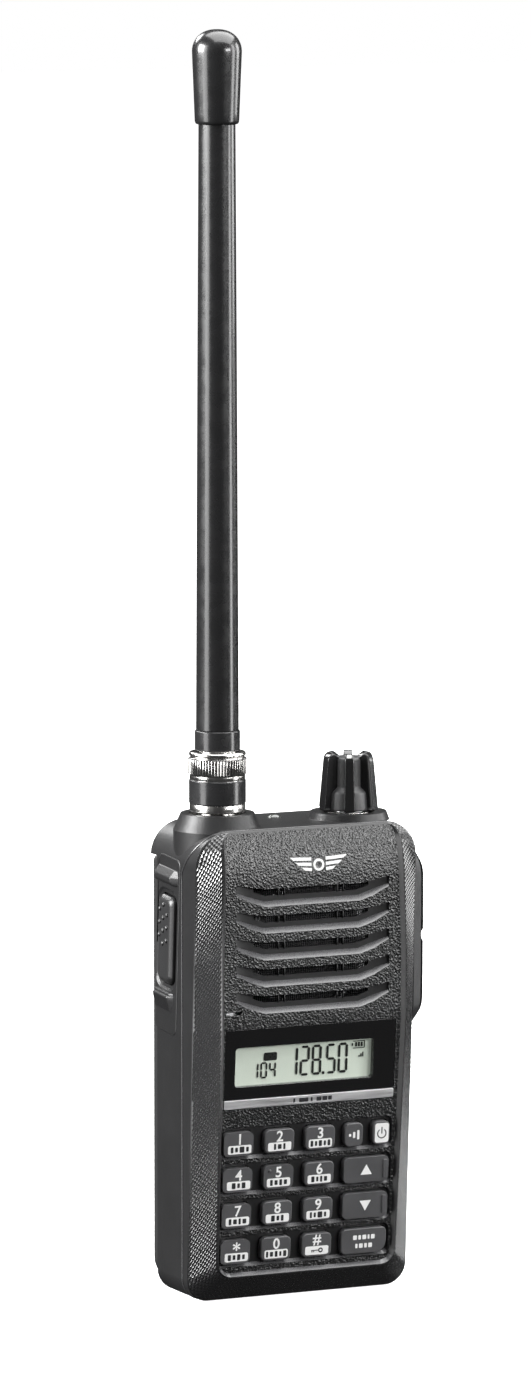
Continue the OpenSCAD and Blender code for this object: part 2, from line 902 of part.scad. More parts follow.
module antenna_ferrule() {
    color([0.06, 0.06, 0.06])
    at_antenna()
        difference() {
            rotate_extrude()
                polygon([[0, ferrule_z[0]], [5.2, ferrule_z[0]], [5.45, ferrule_z[0] + 0.3], [5.45, ferrule_z[1]],
                         [0, ferrule_z[1]]]);
            translate([0, 0, ferrule_z[0] - 1]) cylinder(h = 2.8, r = 4.67);
            translate([0, 0, ferrule_z[0] - 1]) cylinder(h = 10, r = 1.3);
        }
}

module antenna_sheath() {
    color([0.05, 0.05, 0.055])
    at_antenna()
        difference() {
            rotate_extrude()
                polygon([[0, ferrule_z[1]], [5.15, ferrule_z[1]], [4.9, 205], [4.4, cap_z], [0, cap_z]]);
            translate([0, 0, ferrule_z[1] - 1]) cylinder(h = 200, r = 1.3);
        }
}

module antenna_cap() {
    dome = 2.6;
    color([0.05, 0.05, 0.055])
    at_antenna()
        difference() {
            rotate_extrude()
                polygon(concat(
                    [[0, cap_z], [4.6, cap_z], [5.0, cap_z + 0.25], [5.25, cap_z + 0.7], [5.9, antenna_top - 5.6]],
                    [for (i = [0:8]) [5.95 * cos(i * 90 / 8), antenna_top - 4.4 + 4.4 * sin(i * 90 / 8)]]));
            translate([0, 0, cap_z - 1]) cylinder(h = dome + 16, r = 1.3);
        }
}

module antenna_wire() {
    color([0.75, 0.5, 0.3])
    at_antenna()
        translate([0, 0, 134.6])
            cylinder(h = 163, r = 1.1);
}

// ---- battery pack ----

module battery_case() {
    color([0.14, 0.14, 0.15])
    difference() {
        union() {
            slab(pack_y, half_d, rounded(-28.6, 1.4, 28.6, 106.1, 1.4, 6.5));
            box([-24.3, 24.3], [5.5, pack_y + 1], [2.6, 102.4]);
        }
        box([-23, 23], [6.7, 13.8], [4, 101]);
        box([-24.5, 24.5], [5, 6.7], [2, 103]);
        // Pocket for the latch, open at the top
        box([-8, 8], [13.9, half_d + 1], [96, 107]);
    }
}

module battery_lid() {
    color([0.14, 0.14, 0.15])
    box([-24.2, 24.2], [5.5, 6.65], [2.7, 102.3]);
}

module battery_cells() {
    color([0.3, 0.45, 0.6])
    for (side = [-1, 1])
        translate([side * 11.4, 0, 0])
            slab(6.9, 13.5, rounded(-11, 6, 11, 98, 1.5, 1.5));
}

module battery_contacts() {
    color([0.85, 0.7, 0.35])
    for (x = [-15, 0, 15])
        box([x - 2, x + 2], [5.28, 5.49], [6, 12]);
}

module battery_latch() {
    color([0.1, 0.1, 0.1])
    difference() {
        union() {
            box([-7.6, 7.6], [14.0, half_d], [98.6, 105.6]);
            box([-3.9, 3.9], [14.0, half_d], [105, 107.4]);
            for (i = [0:3])
                box([-6, 6], [half_d - 0.1, half_d + 0.35], [99.6 + i * 1.4, 100.2 + i * 1.4]);
        }
        box([-20, 20], [half_d + 0.3, half_d + 2], [90, 110]);
    }
}

// ---- what is drawn ----

front_cover();
display_window();
trim_strip();
lcd_panel();
lcd_backlight();
speaker_mesh();
speaker_frame();
speaker_cone();
microphone();
key_mat();
keypad_board();
for (k = KEYS)
    key_cap(k);
body_gasket();
chassis();
main_board();
shield_can();
ptt_bezel();
ptt_button();
ptt_switch();
jack_cover();
jack_block();
volume_knob();
encoder_shaft();
encoder_body();
encoder_nut();
antenna_jack();
antenna_jack_nut();
jack_insulator();
jack_contact();
coupling_ring();
coupling_sleeve();
plug_shell();
contact_pin();
antenna_ferrule();
antenna_sheath();
antenna_cap();
antenna_wire();
status_led();
battery_case();
battery_lid();
battery_cells();
battery_contacts();
battery_latch();
case_screws();
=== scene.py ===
import math

import bmesh
import bpy
from mathutils import Matrix, Vector


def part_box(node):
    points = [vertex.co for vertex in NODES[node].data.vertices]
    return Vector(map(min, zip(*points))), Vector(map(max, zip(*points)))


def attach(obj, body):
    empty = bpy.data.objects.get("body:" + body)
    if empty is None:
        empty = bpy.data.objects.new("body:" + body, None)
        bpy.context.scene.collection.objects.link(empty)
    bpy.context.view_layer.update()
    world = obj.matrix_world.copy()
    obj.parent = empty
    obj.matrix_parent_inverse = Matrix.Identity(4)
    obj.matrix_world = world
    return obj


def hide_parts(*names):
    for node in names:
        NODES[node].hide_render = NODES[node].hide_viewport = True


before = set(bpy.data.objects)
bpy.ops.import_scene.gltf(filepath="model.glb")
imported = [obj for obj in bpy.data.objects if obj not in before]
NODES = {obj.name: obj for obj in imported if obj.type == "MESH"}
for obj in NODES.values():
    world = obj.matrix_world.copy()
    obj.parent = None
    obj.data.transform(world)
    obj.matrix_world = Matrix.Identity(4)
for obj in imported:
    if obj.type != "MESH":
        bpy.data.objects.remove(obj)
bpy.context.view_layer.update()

# Shapes are drawn in millimetres in the frame's own axes and scaled to metres when they are placed.
MM = 0.001


def box_mm(node):
    """Lowest and highest corner of a CAD node, in millimetres."""
    low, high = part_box(node)
    return low / MM, high / MM


# ---- camera ----

VIEW_LEFT = math.radians(25.5)
VIEW_UP = math.radians(6.85)
VIEW_DISTANCE = 1.976
VIEW_TARGET = Vector((-0.00584, 0.0, 0.14705))
LENS = 215.7


def make_camera():
    data = bpy.data.cameras.new("camera")
    data.lens = LENS
    data.sensor_width = 36
    data.clip_end = 20
    camera = bpy.data.objects.new("camera", data)
    bpy.context.scene.collection.objects.link(camera)
    forward = Vector((
        math.sin(VIEW_LEFT) * math.cos(VIEW_UP),
        math.cos(VIEW_LEFT) * math.cos(VIEW_UP),
        -math.sin(VIEW_UP),
    ))
    camera.location = VIEW_TARGET - forward * VIEW_DISTANCE
    camera.rotation_euler = forward.to_track_quat("-Z", "Y").to_euler()
    bpy.context.scene.camera = camera


make_camera()

# ---- sizes that several pieces share, in millimetres ----

CHASSIS_LOW = box_mm("chassis")[0]
HALF_W = -CHASSIS_LOW.x
BODY_H = 114.4
HALF_D = 15.25
TOP_R = 8.5
BOTTOM_R = 5.5

KNEE_Z = 67.2
TILT = math.radians(4.3)
SINK = 1.0
ROLL_Z = 101.0
ROLL_R = 36.0
RIDGE_TOP = 113.9

PARTING_Y = -2.8
PARTING_TURN_Z = 104.0
PARTING_SLOPE = 0.79
GASKET = 0.4
FLANK_Y0 = -5.2
FLANK_SLOPE = 0.0507

ON_SLOPE = Matrix.Translation((0, -HALF_D, KNEE_Z)) @ Matrix.Rotation(TILT, 4, "X")
ON_FACE = ON_SLOPE @ Matrix.Translation((0, SINK, 0))
FACING_FRONT = Matrix.Rotation(math.pi / 2, 4, "X")


# ---- mesh helpers ----

def arc(cx, cz, rx, rz, start, steps):
    """A quarter turn from the start angle in degrees."""
    angles = [math.radians(start + 90 * i / steps) for i in range(steps + 1)]
    return [(cx + rx * math.cos(a), cz + rz * math.sin(a)) for a in angles]


def rounded(x0, z0, x1, z1, r, steps=6):
    return (
        arc(x1 - r, z1 - r, r, r, 0, steps)
        + arc(x0 + r, z1 - r, r, r, 90, steps)
        + arc(x0 + r, z0 + r, r, r, 180, steps)
        + arc(x1 - r, z0 + r, r, r, 270, steps)
    )


def circle(cx, cz, r, steps=24):
    return [
        (cx + r * math.cos(2 * math.pi * i / steps), cz + r * math.sin(2 * math.pi * i / steps))
        for i in range(steps)
    ]


def loft(rings, bm=None):
    """A closed solid through rings of matching points."""
    bm = bm or bmesh.new()
    loops = [[bm.verts.new(p) for p in ring] for ring in rings]
    made = []
    for a, b in zip(loops, loops[1:]):
        for i in range(len(a)):
            j = (i + 1) % len(a)
            made.append(bm.faces.new((a[i], a[j], b[j], b[i])))
    made.append(bm.faces.new(loops[0][::-1]))
    made.append(bm.faces.new(loops[-1]))
    bmesh.ops.recalc_face_normals(bm, faces=made)
    return bm


def prism(outline, y0, y1, bm=None, outline1=None):
    """An outline in X and Z run from y0 to y1; outline1 is its shape at y1 where that differs."""
    back = outline1 or outline
    return loft([[(x, y0, z) for x, z in outline], [(x, y1, z) for x, z in back]], bm)


def lathe(profile, cx, cy, steps=96):
    """Turns a profile of (radius, z) round the vertical line through cx, cy."""
    bm = bmesh.new()
    rows = []
    for r, z in profile:
        if r < 1e-6:
            rows.append([bm.verts.new((cx, cy, z))])
            continue
        row = []
        for i in range(steps):
            a = 2 * math.pi * i / steps
            row.append(bm.verts.new((cx + r * math.cos(a), cy + r * math.sin(a), z)))
        rows.append(row)
    made = []
    for a, b in zip(rows, rows[1:]):
        for i in range(steps):
            j = (i + 1) % steps
            if len(a) == 1 and len(b) == 1:
                continue
            if len(a) == 1:
                made.append(bm.faces.new((a[0], b[i], b[j])))
            elif len(b) == 1:
                made.append(bm.faces.new((a[i], b[0], a[j])))
            else:
                made.append(bm.faces.new((a[i], a[j], b[j], b[i])))
    for row in (rows[0], rows[-1]):
        if len(row) > 1:
            made.append(bm.faces.new(row))
    bmesh.ops.recalc_face_normals(bm, faces=made)
    return bm


def solid(name, bm, matrix=None):
    mesh = bpy.data.meshes.new(name)
    bm.to_mesh(mesh)
    bm.free()
    if matrix is not None:
        mesh.transform(matrix)
    obj = bpy.data.objects.new(name, mesh)
    bpy.context.scene.collection.objects.link(obj)
    return obj


def bake_modifiers(obj):
    graph = bpy.context.evaluated_depsgraph_get()
    mesh = bpy.data.meshes.new_from_object(obj.evaluated_get(graph))
    obj.modifiers.clear()
    obj.data = mesh


def cut(obj, *cutters):
    for cutter in cutters:
        modifier = obj.modifiers.new("cut", "BOOLEAN")
        modifier.operation = "DIFFERENCE"
        modifier.solver = "EXACT"
        modifier.object = cutter
    bake_modifiers(obj)
    for cutter in cutters:
        bpy.data.objects.remove(cutter)


def merge_flat(obj, degrees=0.4):
    """Joins faces that lie in one plane, so that a bevel finds clean edges."""
    bm = bmesh.new()
    bm.from_mesh(obj.data)
    bmesh.ops.remove_doubles(bm, verts=bm.verts, dist=0.0005)
    bmesh.ops.dissolve_limit(bm, angle_limit=math.radians(degrees), verts=bm.verts, edges=bm.edges)
    bm.to_mesh(obj.data)
    bm.free()


def place(obj, body, slot, *materials, replaces=()):
    """Scales a piece to metres, paints it and fixes it to its body."""
    obj.data.transform(Matrix.Scale(MM, 4))
    chosen = [polygon.material_index for polygon in obj.data.polygons]
    obj.data.materials.clear()
    for material in materials:
        obj.data.materials.append(material)
    for polygon, index in zip(obj.data.polygons, chosen):
        polygon.material_index = index
    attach(obj, body)
    if replaces:
        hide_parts(*replaces)
    return obj


def smooth(obj):
    for polygon in obj.data.polygons:
        polygon.use_smooth = True


def round_edges(obj, width, segments=2, degrees=30):
    """Rounds the edges by a width in millimetres and evens out the shading."""
    smooth(obj)
    bevel = obj.modifiers.new("round", "BEVEL")
    bevel.width = width * MM
    bevel.segments = segments
    bevel.limit_method = "ANGLE"
    bevel.angle_limit = math.radians(degrees)
    bevel.use_clamp_overlap = True
    bevel.miter_outer = "MITER_ARC"
    normals = obj.modifiers.new("normals", "WEIGHTED_NORMAL")
    normals.keep_sharp = True
    return obj


def round_cad(node, width, segments=2, degrees=30):
    """Rounds the edges of a CAD part that stays in view; its own mesh isn't touched."""
    obj = NODES[node]
    weld = obj.modifiers.new("weld", "WELD")
    weld.merge_threshold = 0.002 * MM
    flat = obj.modifiers.new("flat", "DECIMATE")
    flat.decimate_type = "DISSOLVE"
    flat.angle_limit = math.radians(0.5)
    return round_edges(obj, width, segments, degrees)


# ---- materials ----

def nodes_of(name):
    material = bpy.data.materials.new(name)
    material.use_nodes = True
    tree = material.node_tree
    return material, tree, tree.nodes["Principled BSDF"]


def noise(tree, scale, detail=3.0, roughness=0.55, stretch=None):
    """A noise texture in object space; stretch scales the axes."""
    coordinates = tree.nodes.new("ShaderNodeTexCoord")
    texture = tree.nodes.new("ShaderNodeTexNoise")
    texture.inputs["Scale"].default_value = scale
    texture.inputs["Detail"].default_value = detail
    texture.inputs["Roughness"].default_value = roughness
    source = coordinates.outputs["Object"]
    if stretch:
        mapping = tree.nodes.new("ShaderNodeMapping")
        mapping.inputs["Scale"].default_value = stretch
        tree.links.new(source, mapping.inputs["Vector"])
        source = mapping.outputs["Vector"]
    tree.links.new(source, texture.inputs["Vector"])
    return texture.outputs["Fac"]


def cells(tree, scale, smoothness=0.6):
    coordinates = tree.nodes.new("ShaderNodeTexCoord")
    texture = tree.nodes.new("ShaderNodeTexVoronoi")
    texture.feature = "SMOOTH_F1"
    texture.inputs["Scale"].default_value = scale
    texture.inputs["Smoothness"].default_value = smoothness
    tree.links.new(coordinates.outputs["Object"], texture.inputs["Vector"])
    return texture.outputs["Distance"]


def ramp(tree, source, low, high, at_low=0.3, at_high=0.7):
    """Blends two colours over a range of the source."""
    node = tree.nodes.new("ShaderNodeValToRGB")
    node.color_ramp.elements[0].position = at_low
    node.color_ramp.elements[1].position = at_high
    node.color_ramp.elements[0].color = (*low, 1)
    node.color_ramp.elements[1].color = (*high, 1)
    tree.links.new(source, node.inputs["Fac"])
    return node.outputs["Color"]


def range_of(tree, source, low, high):
    node = tree.nodes.new("ShaderNodeMapRange")
    node.inputs["From Min"].default_value = 0.3
    node.inputs["From Max"].default_value = 0.7
    node.inputs["To Min"].default_value = low
    node.inputs["To Max"].default_value = high
    tree.links.new(source, node.inputs["Value"])
    return node.outputs["Result"]


def bump(tree, shader, heights):
    """Stacks bumps on a shader; each is a height source, its depth in millimetres and its strength."""
    last = None
    for height, depth, strength in heights:
        node = tree.nodes.new("ShaderNodeBump")
        node.inputs["Distance"].default_value = depth * MM
        node.inputs["Strength"].default_value = strength
        tree.links.new(height, node.inputs["Height"])
        if last:
            tree.links.new(last, node.inputs["Normal"])
        last = node.outputs["Normal"]
    tree.links.new(last, shader.inputs["Normal"])


def grey(value):
    return (value, value, value * 1.04)


def moulded(name, tone, roughness, grain, depth, cell=None, cell_depth=0.0, specular=0.5):
    """Moulded plastic or rubber: grain is the size of its texture in millimetres."""
    material, tree, shader = nodes_of(name)
    fine = noise(tree, 1 / (grain * MM), 4.0, 0.6)
    broad = noise(tree, 90.0, 3.0)
    tint = ramp(tree, broad, grey(tone * 0.88), grey(tone * 1.14))
    tree.links.new(tint, shader.inputs["Base Color"])
    rough = range_of(tree, fine, roughness - 0.06, roughness + 0.08)
    tree.links.new(rough, shader.inputs["Roughness"])
    shader.inputs["Specular IOR Level"].default_value = specular
    heights = [(fine, depth, 1.0)]
    if cell:
        heights.insert(0, (cells(tree, 1 / (cell * MM)), cell_depth, 1.0))
    bump(tree, shader, heights)
    return material


def metal(name, colour, roughness, scratch=2500.0, depth=0.004, stretch=(1, 1, 0.05)):
    material, tree, shader = nodes_of(name)
    shader.inputs["Metallic"].default_value = 1.0
    lines = noise(tree, scratch, 3.0, 0.6, stretch)
    low = tuple(c * 0.92 for c in colour)
    tree.links.new(ramp(tree, lines, low, colour), shader.inputs["Base Color"])
    tree.links.new(range_of(tree, lines, roughness * 0.8, roughness * 1.3), shader.inputs["Roughness"])
    bump(tree, shader, [(lines, depth, 0.6)])
    return material


def paint(name, colour, roughness=0.45, coat=0.0):
    """Printed ink or plain plastic of one colour, with slight mottling."""
    material, tree, shader = nodes_of(name)
    speckle = noise(tree, 3000.0, 3.0)
    low = tuple(c * 0.94 for c in colour)
    tree.links.new(ramp(tree, speckle, low, colour), shader.inputs["Base Color"])
    tree.links.new(range_of(tree, speckle, roughness - 0.05, roughness + 0.05), shader.inputs["Roughness"])
    shader.inputs["Coat Weight"].default_value = coat
    bump(tree, shader, [(speckle, 0.01, 0.5)])
    return material


def black_gloss(name, tone, roughness, coat):
    material, tree, shader = nodes_of(name)
    wave = noise(tree, 260.0, 2.0)
    dust = noise(tree, 4200.0, 2.0)
    tree.links.new(ramp(tree, dust, grey(tone * 0.9), grey(tone * 1.1)), shader.inputs["Base Color"])
    tree.links.new(range_of(tree, wave, roughness * 0.85, roughness * 1.2), shader.inputs["Roughness"])
    shader.inputs["Coat Weight"].default_value = coat
    shader.inputs["Coat Roughness"].default_value = 0.08
    bump(tree, shader, [(wave, 0.012, 0.4), (dust, 0.0002, 0.4)])
    return material


def display_painted_glow():
    """The liquid crystal's pale green-grey with its fine pixel lines, and a painted glow that brightens it
    whatever the lamps do.
    """
    material, tree, shader = nodes_of("display_painted_glow")
    weave = noise(tree, 5200.0, 2.0)
    shade = noise(tree, 60.0, 2.0)
    colour = ramp(tree, shade, (0.62, 0.69, 0.60), (0.70, 0.77, 0.67))
    tree.links.new(colour, shader.inputs["Base Color"])
    tree.links.new(range_of(tree, weave, 0.32, 0.42), shader.inputs["Roughness"])
    # Painted glow: the panel gives off light of its own though it is no lamp.
    shader.inputs["Emission Color"].default_value = (0.50, 0.56, 0.485, 1)
    shader.inputs["Emission Strength"].default_value = 0.26
    bump(tree, shader, [(weave, 0.006, 0.4)])
    return material


def clear_pane():
    material, tree, shader = nodes_of("clear_pane")
    wave = noise(tree, 200.0, 2.0)
    shader.inputs["Base Color"].default_value = (0.02, 0.02, 0.02, 1)
    shader.inputs["Alpha"].default_value = 0.06
    tree.links.new(range_of(tree, wave, 0.04, 0.08), shader.inputs["Roughness"])
    bump(tree, shader, [(wave, 0.01, 0.3)])
    return material


def circuit():
    material, tree, shader = nodes_of("circuit_green")
    tracks = noise(tree, 420.0, 1.0, 0.4, (1, 1, 0.25))
    green = ramp(tree, tracks, (0.01, 0.07, 0.03), (0.03, 0.16, 0.07), 0.45, 0.52)
    tree.links.new(green, shader.inputs["Base Color"])
    tree.links.new(range_of(tree, tracks, 0.3, 0.45), shader.inputs["Roughness"])
    bump(tree, shader, [(tracks, 0.03, 0.6)])
    return material


FACE = moulded("face_grain", 0.009, 0.27, 0.30, 0.06, cell=0.52, cell_depth=0.14, specular=0.7)
KNURL = moulded("knurl_satin", 0.016, 0.22, 0.30, 0.003, specular=1.0)
SMOOTH = moulded("smooth_black", 0.012, 0.34, 0.25, 0.006, specular=0.6)
# Painted highlight: a much lighter copy of the face's plastic, put on upward-facing lips in place of light
# from above.
LIP_PAINTED_LIGHT = moulded("lip_painted_highlight", 0.085, 0.28, 0.25, 0.005, specular=0.9)
# Painted highlight: the chassis edge bead is three times lighter than the case plastic, so the edge reads as
# a bright line.
RIM_PAINTED_HIGHLIGHT = moulded("rim_painted_highlight", 0.03, 0.24, 0.3, 0.003, specular=0.8)
CASE = moulded("case_matte", 0.010, 0.38, 0.2, 0.03, specular=0.45)
PACK = moulded("pack_matte", 0.016, 0.44, 0.32, 0.07)
BUTTON = moulded("button_satin", 0.015, 0.36, 0.26, 0.03, specular=0.6)
COVER = moulded("cover_rubber_grain", 0.016, 0.46, 0.3, 0.05)
KEY = moulded("key_satin", 0.078, 0.36, 0.22, 0.005)
KNOB_CORE = moulded("knob_grain", 0.034, 0.38, 0.26, 0.05, specular=0.6)
KNOB_RIB = black_gloss("knob_gloss", 0.012, 0.17, 0.3)
RUBBER = moulded("gasket_rubber", 0.012, 0.7, 0.3, 0.01)
CLOTH = moulded("mesh_dark", 0.012, 0.6, 0.3, 0.01)
WINDOW = black_gloss("window_black", 0.008, 0.12, 0.5)
ANTENNA = black_gloss("antenna_black", 0.012, 0.26, 0.35)
SLEEVE = black_gloss("sleeve_black", 0.018, 0.24, 0.2)
NICKEL = metal("nickel_plate", (0.60, 0.59, 0.575), 0.21, 900.0, 0.0003)
# Painted shade: near-black metal for the hollows between the coupling's teeth.
NICKEL_GROOVE_SHADE = metal("nickel_groove_painted_shade", (0.07, 0.07, 0.07), 0.35)
STEEL = metal("steel_plate", (0.60, 0.60, 0.61), 0.3)
GOLD = metal("gold_plate", (0.85, 0.62, 0.26), 0.22)
COPPER = metal("copper_wire", (0.78, 0.42, 0.27), 0.3)
SILVER = metal("strip_silver", (0.80, 0.80, 0.81), 0.40, 1800.0, 0.006, (0.04, 1, 1))
WHITE_INK = paint("white_ink", (0.88, 0.88, 0.87), 0.45)
DARK_INK = paint("dark_ink", (0.02, 0.02, 0.022), 0.4)
LIGHT_GUIDE = paint("light_guide", (0.9, 0.9, 0.86), 0.4)
INSULATOR = paint("white_insulator_resin", (0.86, 0.86, 0.83), 0.4)
CONE = paint("speaker_paper", (0.03, 0.03, 0.03), 0.7)
CELL_WRAP = paint("cell_wrap_blue", (0.10, 0.20, 0.34), 0.35)
LAMP_LENS = paint("lamp_lens", (0.05, 0.055, 0.05), 0.12, 0.6)
LABEL = paint("label_grey", (0.10, 0.10, 0.104), 0.5)
LCD = display_painted_glow()
SEGMENT = paint("segment_ink", (0.018, 0.02, 0.018), 0.3)
PANE = clear_pane()
BOARD = circuit()

# ---- the front cover ----

RIDGE_WIDE = 24.3
RIDGE_END = 23.5
WIDEST_Z = 84.0
RIDGE_CORNER_Z = 109.9
RIDGE_CORNER_IN = 2.5
LOW_CORNER_Z = 9.9
LOW_CORNER_R = 3.5
WALL_IN = 0.8


def face_depth(z):
    """How far behind the ridge's upright front plane the ridge lies at a height."""
    if z > ROLL_Z:
        return (z - ROLL_Z) ** 2 / (2 * ROLL_R)
    return max(0.0, KNEE_Z - z) * math.tan(TILT)


def ridge_y(z):
    return -HALF_D + face_depth(z)


def sunken_y(z):
    return ridge_y(z) + SINK


def parting_y(z):
    return PARTING_Y - GASKET - PARTING_SLOPE * max(0.0, z - PARTING_TURN_Z)


def flank_y(z):
    return min(FLANK_Y0 - FLANK_SLOPE * z, parting_y(z) - 0.15)


def ridge_half_width(z):
    if z > WIDEST_Z:
        return RIDGE_WIDE + (RIDGE_END - RIDGE_WIDE) * (z - WIDEST_Z) / (RIDGE_CORNER_Z - WIDEST_Z)
    if z > KNEE_Z:
        return RIDGE_WIDE
    return RIDGE_WIDE + (RIDGE_END - RIDGE_WIDE) * (KNEE_Z - z) / (KNEE_Z - LOW_CORNER_Z)


SIDE_LEVELS = [108, 106, 104, 102.5, 101, 96, 90, 84, 78, 72, 67.2, 60, 50, 40, 30, 20, 14]
CORNER_STEPS = 12


def left_half_ridge(inset):
    """The left half of the ridge's outline, from the top down, as (x, z)."""
    top = arc(
        -(RIDGE_END - RIDGE_CORNER_IN), RIDGE_CORNER_Z,
        RIDGE_CORNER_IN - inset, RIDGE_TOP - RIDGE_CORNER_Z, 90, CORNER_STEPS,
    )
    sides = [(-(ridge_half_width(z) - inset), z) for z in SIDE_LEVELS]
    low = arc(
        -(RIDGE_END - LOW_CORNER_R), LOW_CORNER_Z,
        LOW_CORNER_R - inset, LOW_CORNER_R - inset, 180, CORNER_STEPS,
    )
    return top + sides + low


def left_half_body(inset):
    """The matching half of the body's outline."""
    top = arc(-(HALF_W - TOP_R), BODY_H - TOP_R, TOP_R - inset, TOP_R - inset, 90, CORNER_STEPS)
    span = BODY_H - TOP_R - BOTTOM_R
    shares = [(RIDGE_CORNER_Z - z) / (RIDGE_CORNER_Z - LOW_CORNER_Z) for z in SIDE_LEVELS]
    sides = [(-(HALF_W - inset), BODY_H - TOP_R - share * span) for share in shares]
    low = arc(
        -(HALF_W - BOTTOM_R), BOTTOM_R, BOTTOM_R - inset, BOTTOM_R - inset, 180, CORNER_STEPS,
    )
    return top + sides + low


def both_halves(half, depth):
    """Mirrors a half outline; depth gives y from the point's place in the list and its height."""
    left = [(x, depth(i, z), z) for i, (x, z) in enumerate(half)]
    return left + [(-x, y, z) for x, y, z in left[::-1]]


def fading_ridge(i, z):
    """The ridge sinks into the face round the top corners."""
    fade = max(0.0, 1 - i / CORNER_STEPS)
    return ridge_y(z) + SINK * fade * fade * (3 - 2 * fade)


def ladder(bm, loop, flip):
    """Closes a mirrored loop with level rungs."""
    last = len(loop) - 1
    for i in range(len(loop) // 2 - 1):
        quad = (loop[i], loop[i + 1], loop[last - i - 1], loop[last - i])
        bm.faces.new(quad[::-1] if flip else quad)


def front_shell():
    wall = 2.0
    thick = 3.0
    outer = [
        both_halves(left_half_body(0), lambda i, z: parting_y(z)),
        both_halves(left_half_body(0), lambda i, z: flank_y(z)),
        both_halves(left_half_ridge(0), fading_ridge),
        both_halves(left_half_ridge(WALL_IN), lambda i, z: sunken_y(z)),
    ]
    inner = [
        both_halves(left_half_body(wall), lambda i, z: parting_y(z)),
        both_halves(left_half_body(wall), lambda i, z: min(flank_y(z) + 2.0, parting_y(z) - 0.05)),
        both_halves(left_half_ridge(1.6), lambda i, z: min(sunken_y(z) + thick - SINK, parting_y(z) - 0.1)),
    ]
    bm = bmesh.new()
    outer_loops = [[bm.verts.new(p) for p in ring] for ring in outer]
    inner_loops = [[bm.verts.new(p) for p in ring] for ring in inner]
    count = len(outer_loops[0])
    for loops in (outer_loops, [outer_loops[0], inner_loops[0]], inner_loops):
        for a, b in zip(loops, loops[1:]):
            for i in range(count):
                j = (i + 1) % count
                bm.faces.new((a[i], a[j], b[j], b[i]))
    ladder(bm, outer_loops[-1], False)
    ladder(bm, inner_loops[-1], True)
    bmesh.ops.recalc_face_normals(bm, faces=bm.faces)
    return solid("front_shell", bm)


LOUVRE_TOP = 100.46
LOUVRE_PITCH = 6.45
LOUVRES = [LOUVRE_TOP - i * LOUVRE_PITCH for i in range(5)]
LOUVRE_DEPTH = 1.35
# Across the right half of a louvre: x, top edge, floor's bottom edge, lip's bottom edge and depth
LOUVRE_STATIONS = [
    (12.6, 0.0, -3.05, -4.29, LOUVRE_DEPTH),
    (16.3, 0.55, -1.9, -3.14, LOUVRE_DEPTH),
    (20.3, 1.3, -0.6, -1.15, 0.65),
]
OPENING_X = 15.3


def louvre_recess(top_z, bm):
    """A shelf with a sloping lip along its lower edge and ends that run out to the face."""
    face = -HALF_D + SINK
    rings = []
    for x, top, floor, lip, depth in (
        [(-s[0], *s[1:]) for s in LOUVRE_STATIONS[::-1]] + LOUVRE_STATIONS
    ):
        spread = (floor - lip) / depth
        rings.append([
            (x, face - 1.0, top_z + top),
            (x, face + depth, top_z + top),
            (x, face + depth, top_z + floor),
            (x, face - 1.0, top_z + lip - spread),
        ])
    loft(rings, bm)


def louvre_opening(top_z, bm):
    low = -1.8
    outline = [
        (OPENING_X - 3.2, top_z + low), (OPENING_X, top_z + low + 1.0), (OPENING_X, top_z + 0.35),
        (12.6, top_z), (-12.6, top_z), (-OPENING_X, top_z + 0.35), (-OPENING_X, top_z + low + 1.0),
        (-OPENING_X + 3.2, top_z + low),
    ]
    prism(outline, -HALF_D, -HALF_D + 5, bm)


KEY_NODES = [n for n in NODES if n.startswith("key_") and n != "key_mat"]
ROW_PITCH = 8.86
FIRST_ROW = -28.3
KEY_GAP = 0.22
WINDOW_X = (-23.1, 22.3)
WINDOW_Z = (-17.5, -0.3)
STRIP_Z = (-19.9, -17.6)


def key_frame(node):
    """A key's left, right, bottom and top edges on the sloping face."""
    low, high = box_mm(node)
    middle_x = (low.x + high.x) / 2
    middle = ON_FACE.inverted() @ Vector((middle_x, (low.y + high.y) / 2, (low.z + high.z) / 2))
    row = round((FIRST_ROW - middle.z) / ROW_PITCH)
    wide = high.x - low.x > 11
    half_h = 6.3 / 2 if wide else 5.8 / 2
    zc = FIRST_ROW - row * ROW_PITCH
    half_x = (high.x - low.x) / 2 - 0.6
    return middle_x - half_x, middle_x + half_x, zc - half_h, zc + half_h


def key_wells(bm):
    for node in KEY_NODES:
        x0, x1, z0, z1 = key_frame(node)
        small = rounded(x0 - KEY_GAP, z0 - KEY_GAP, x1 + KEY_GAP, z1 + KEY_GAP, 1.5)
        prism(small, -2, 5, bm)


def key_channels(bm):
    """Shallow channels, one a row, whose lower side slopes."""
    for row in range(4):
        zc = FIRST_ROW - row * ROW_PITCH
        floor = rounded(-23.0, zc - 3.25, 21.8, zc + 3.7, 1.2)
        mouth = rounded(-23.6, zc - 4.35, 22.4, zc + 4.0, 1.5)
        prism(mouth, -0.55, 0.85, bm, floor)


def face_cutter(name, draw):
    bm = bmesh.new()
    draw(bm)
    return solid(name, bm, ON_FACE)


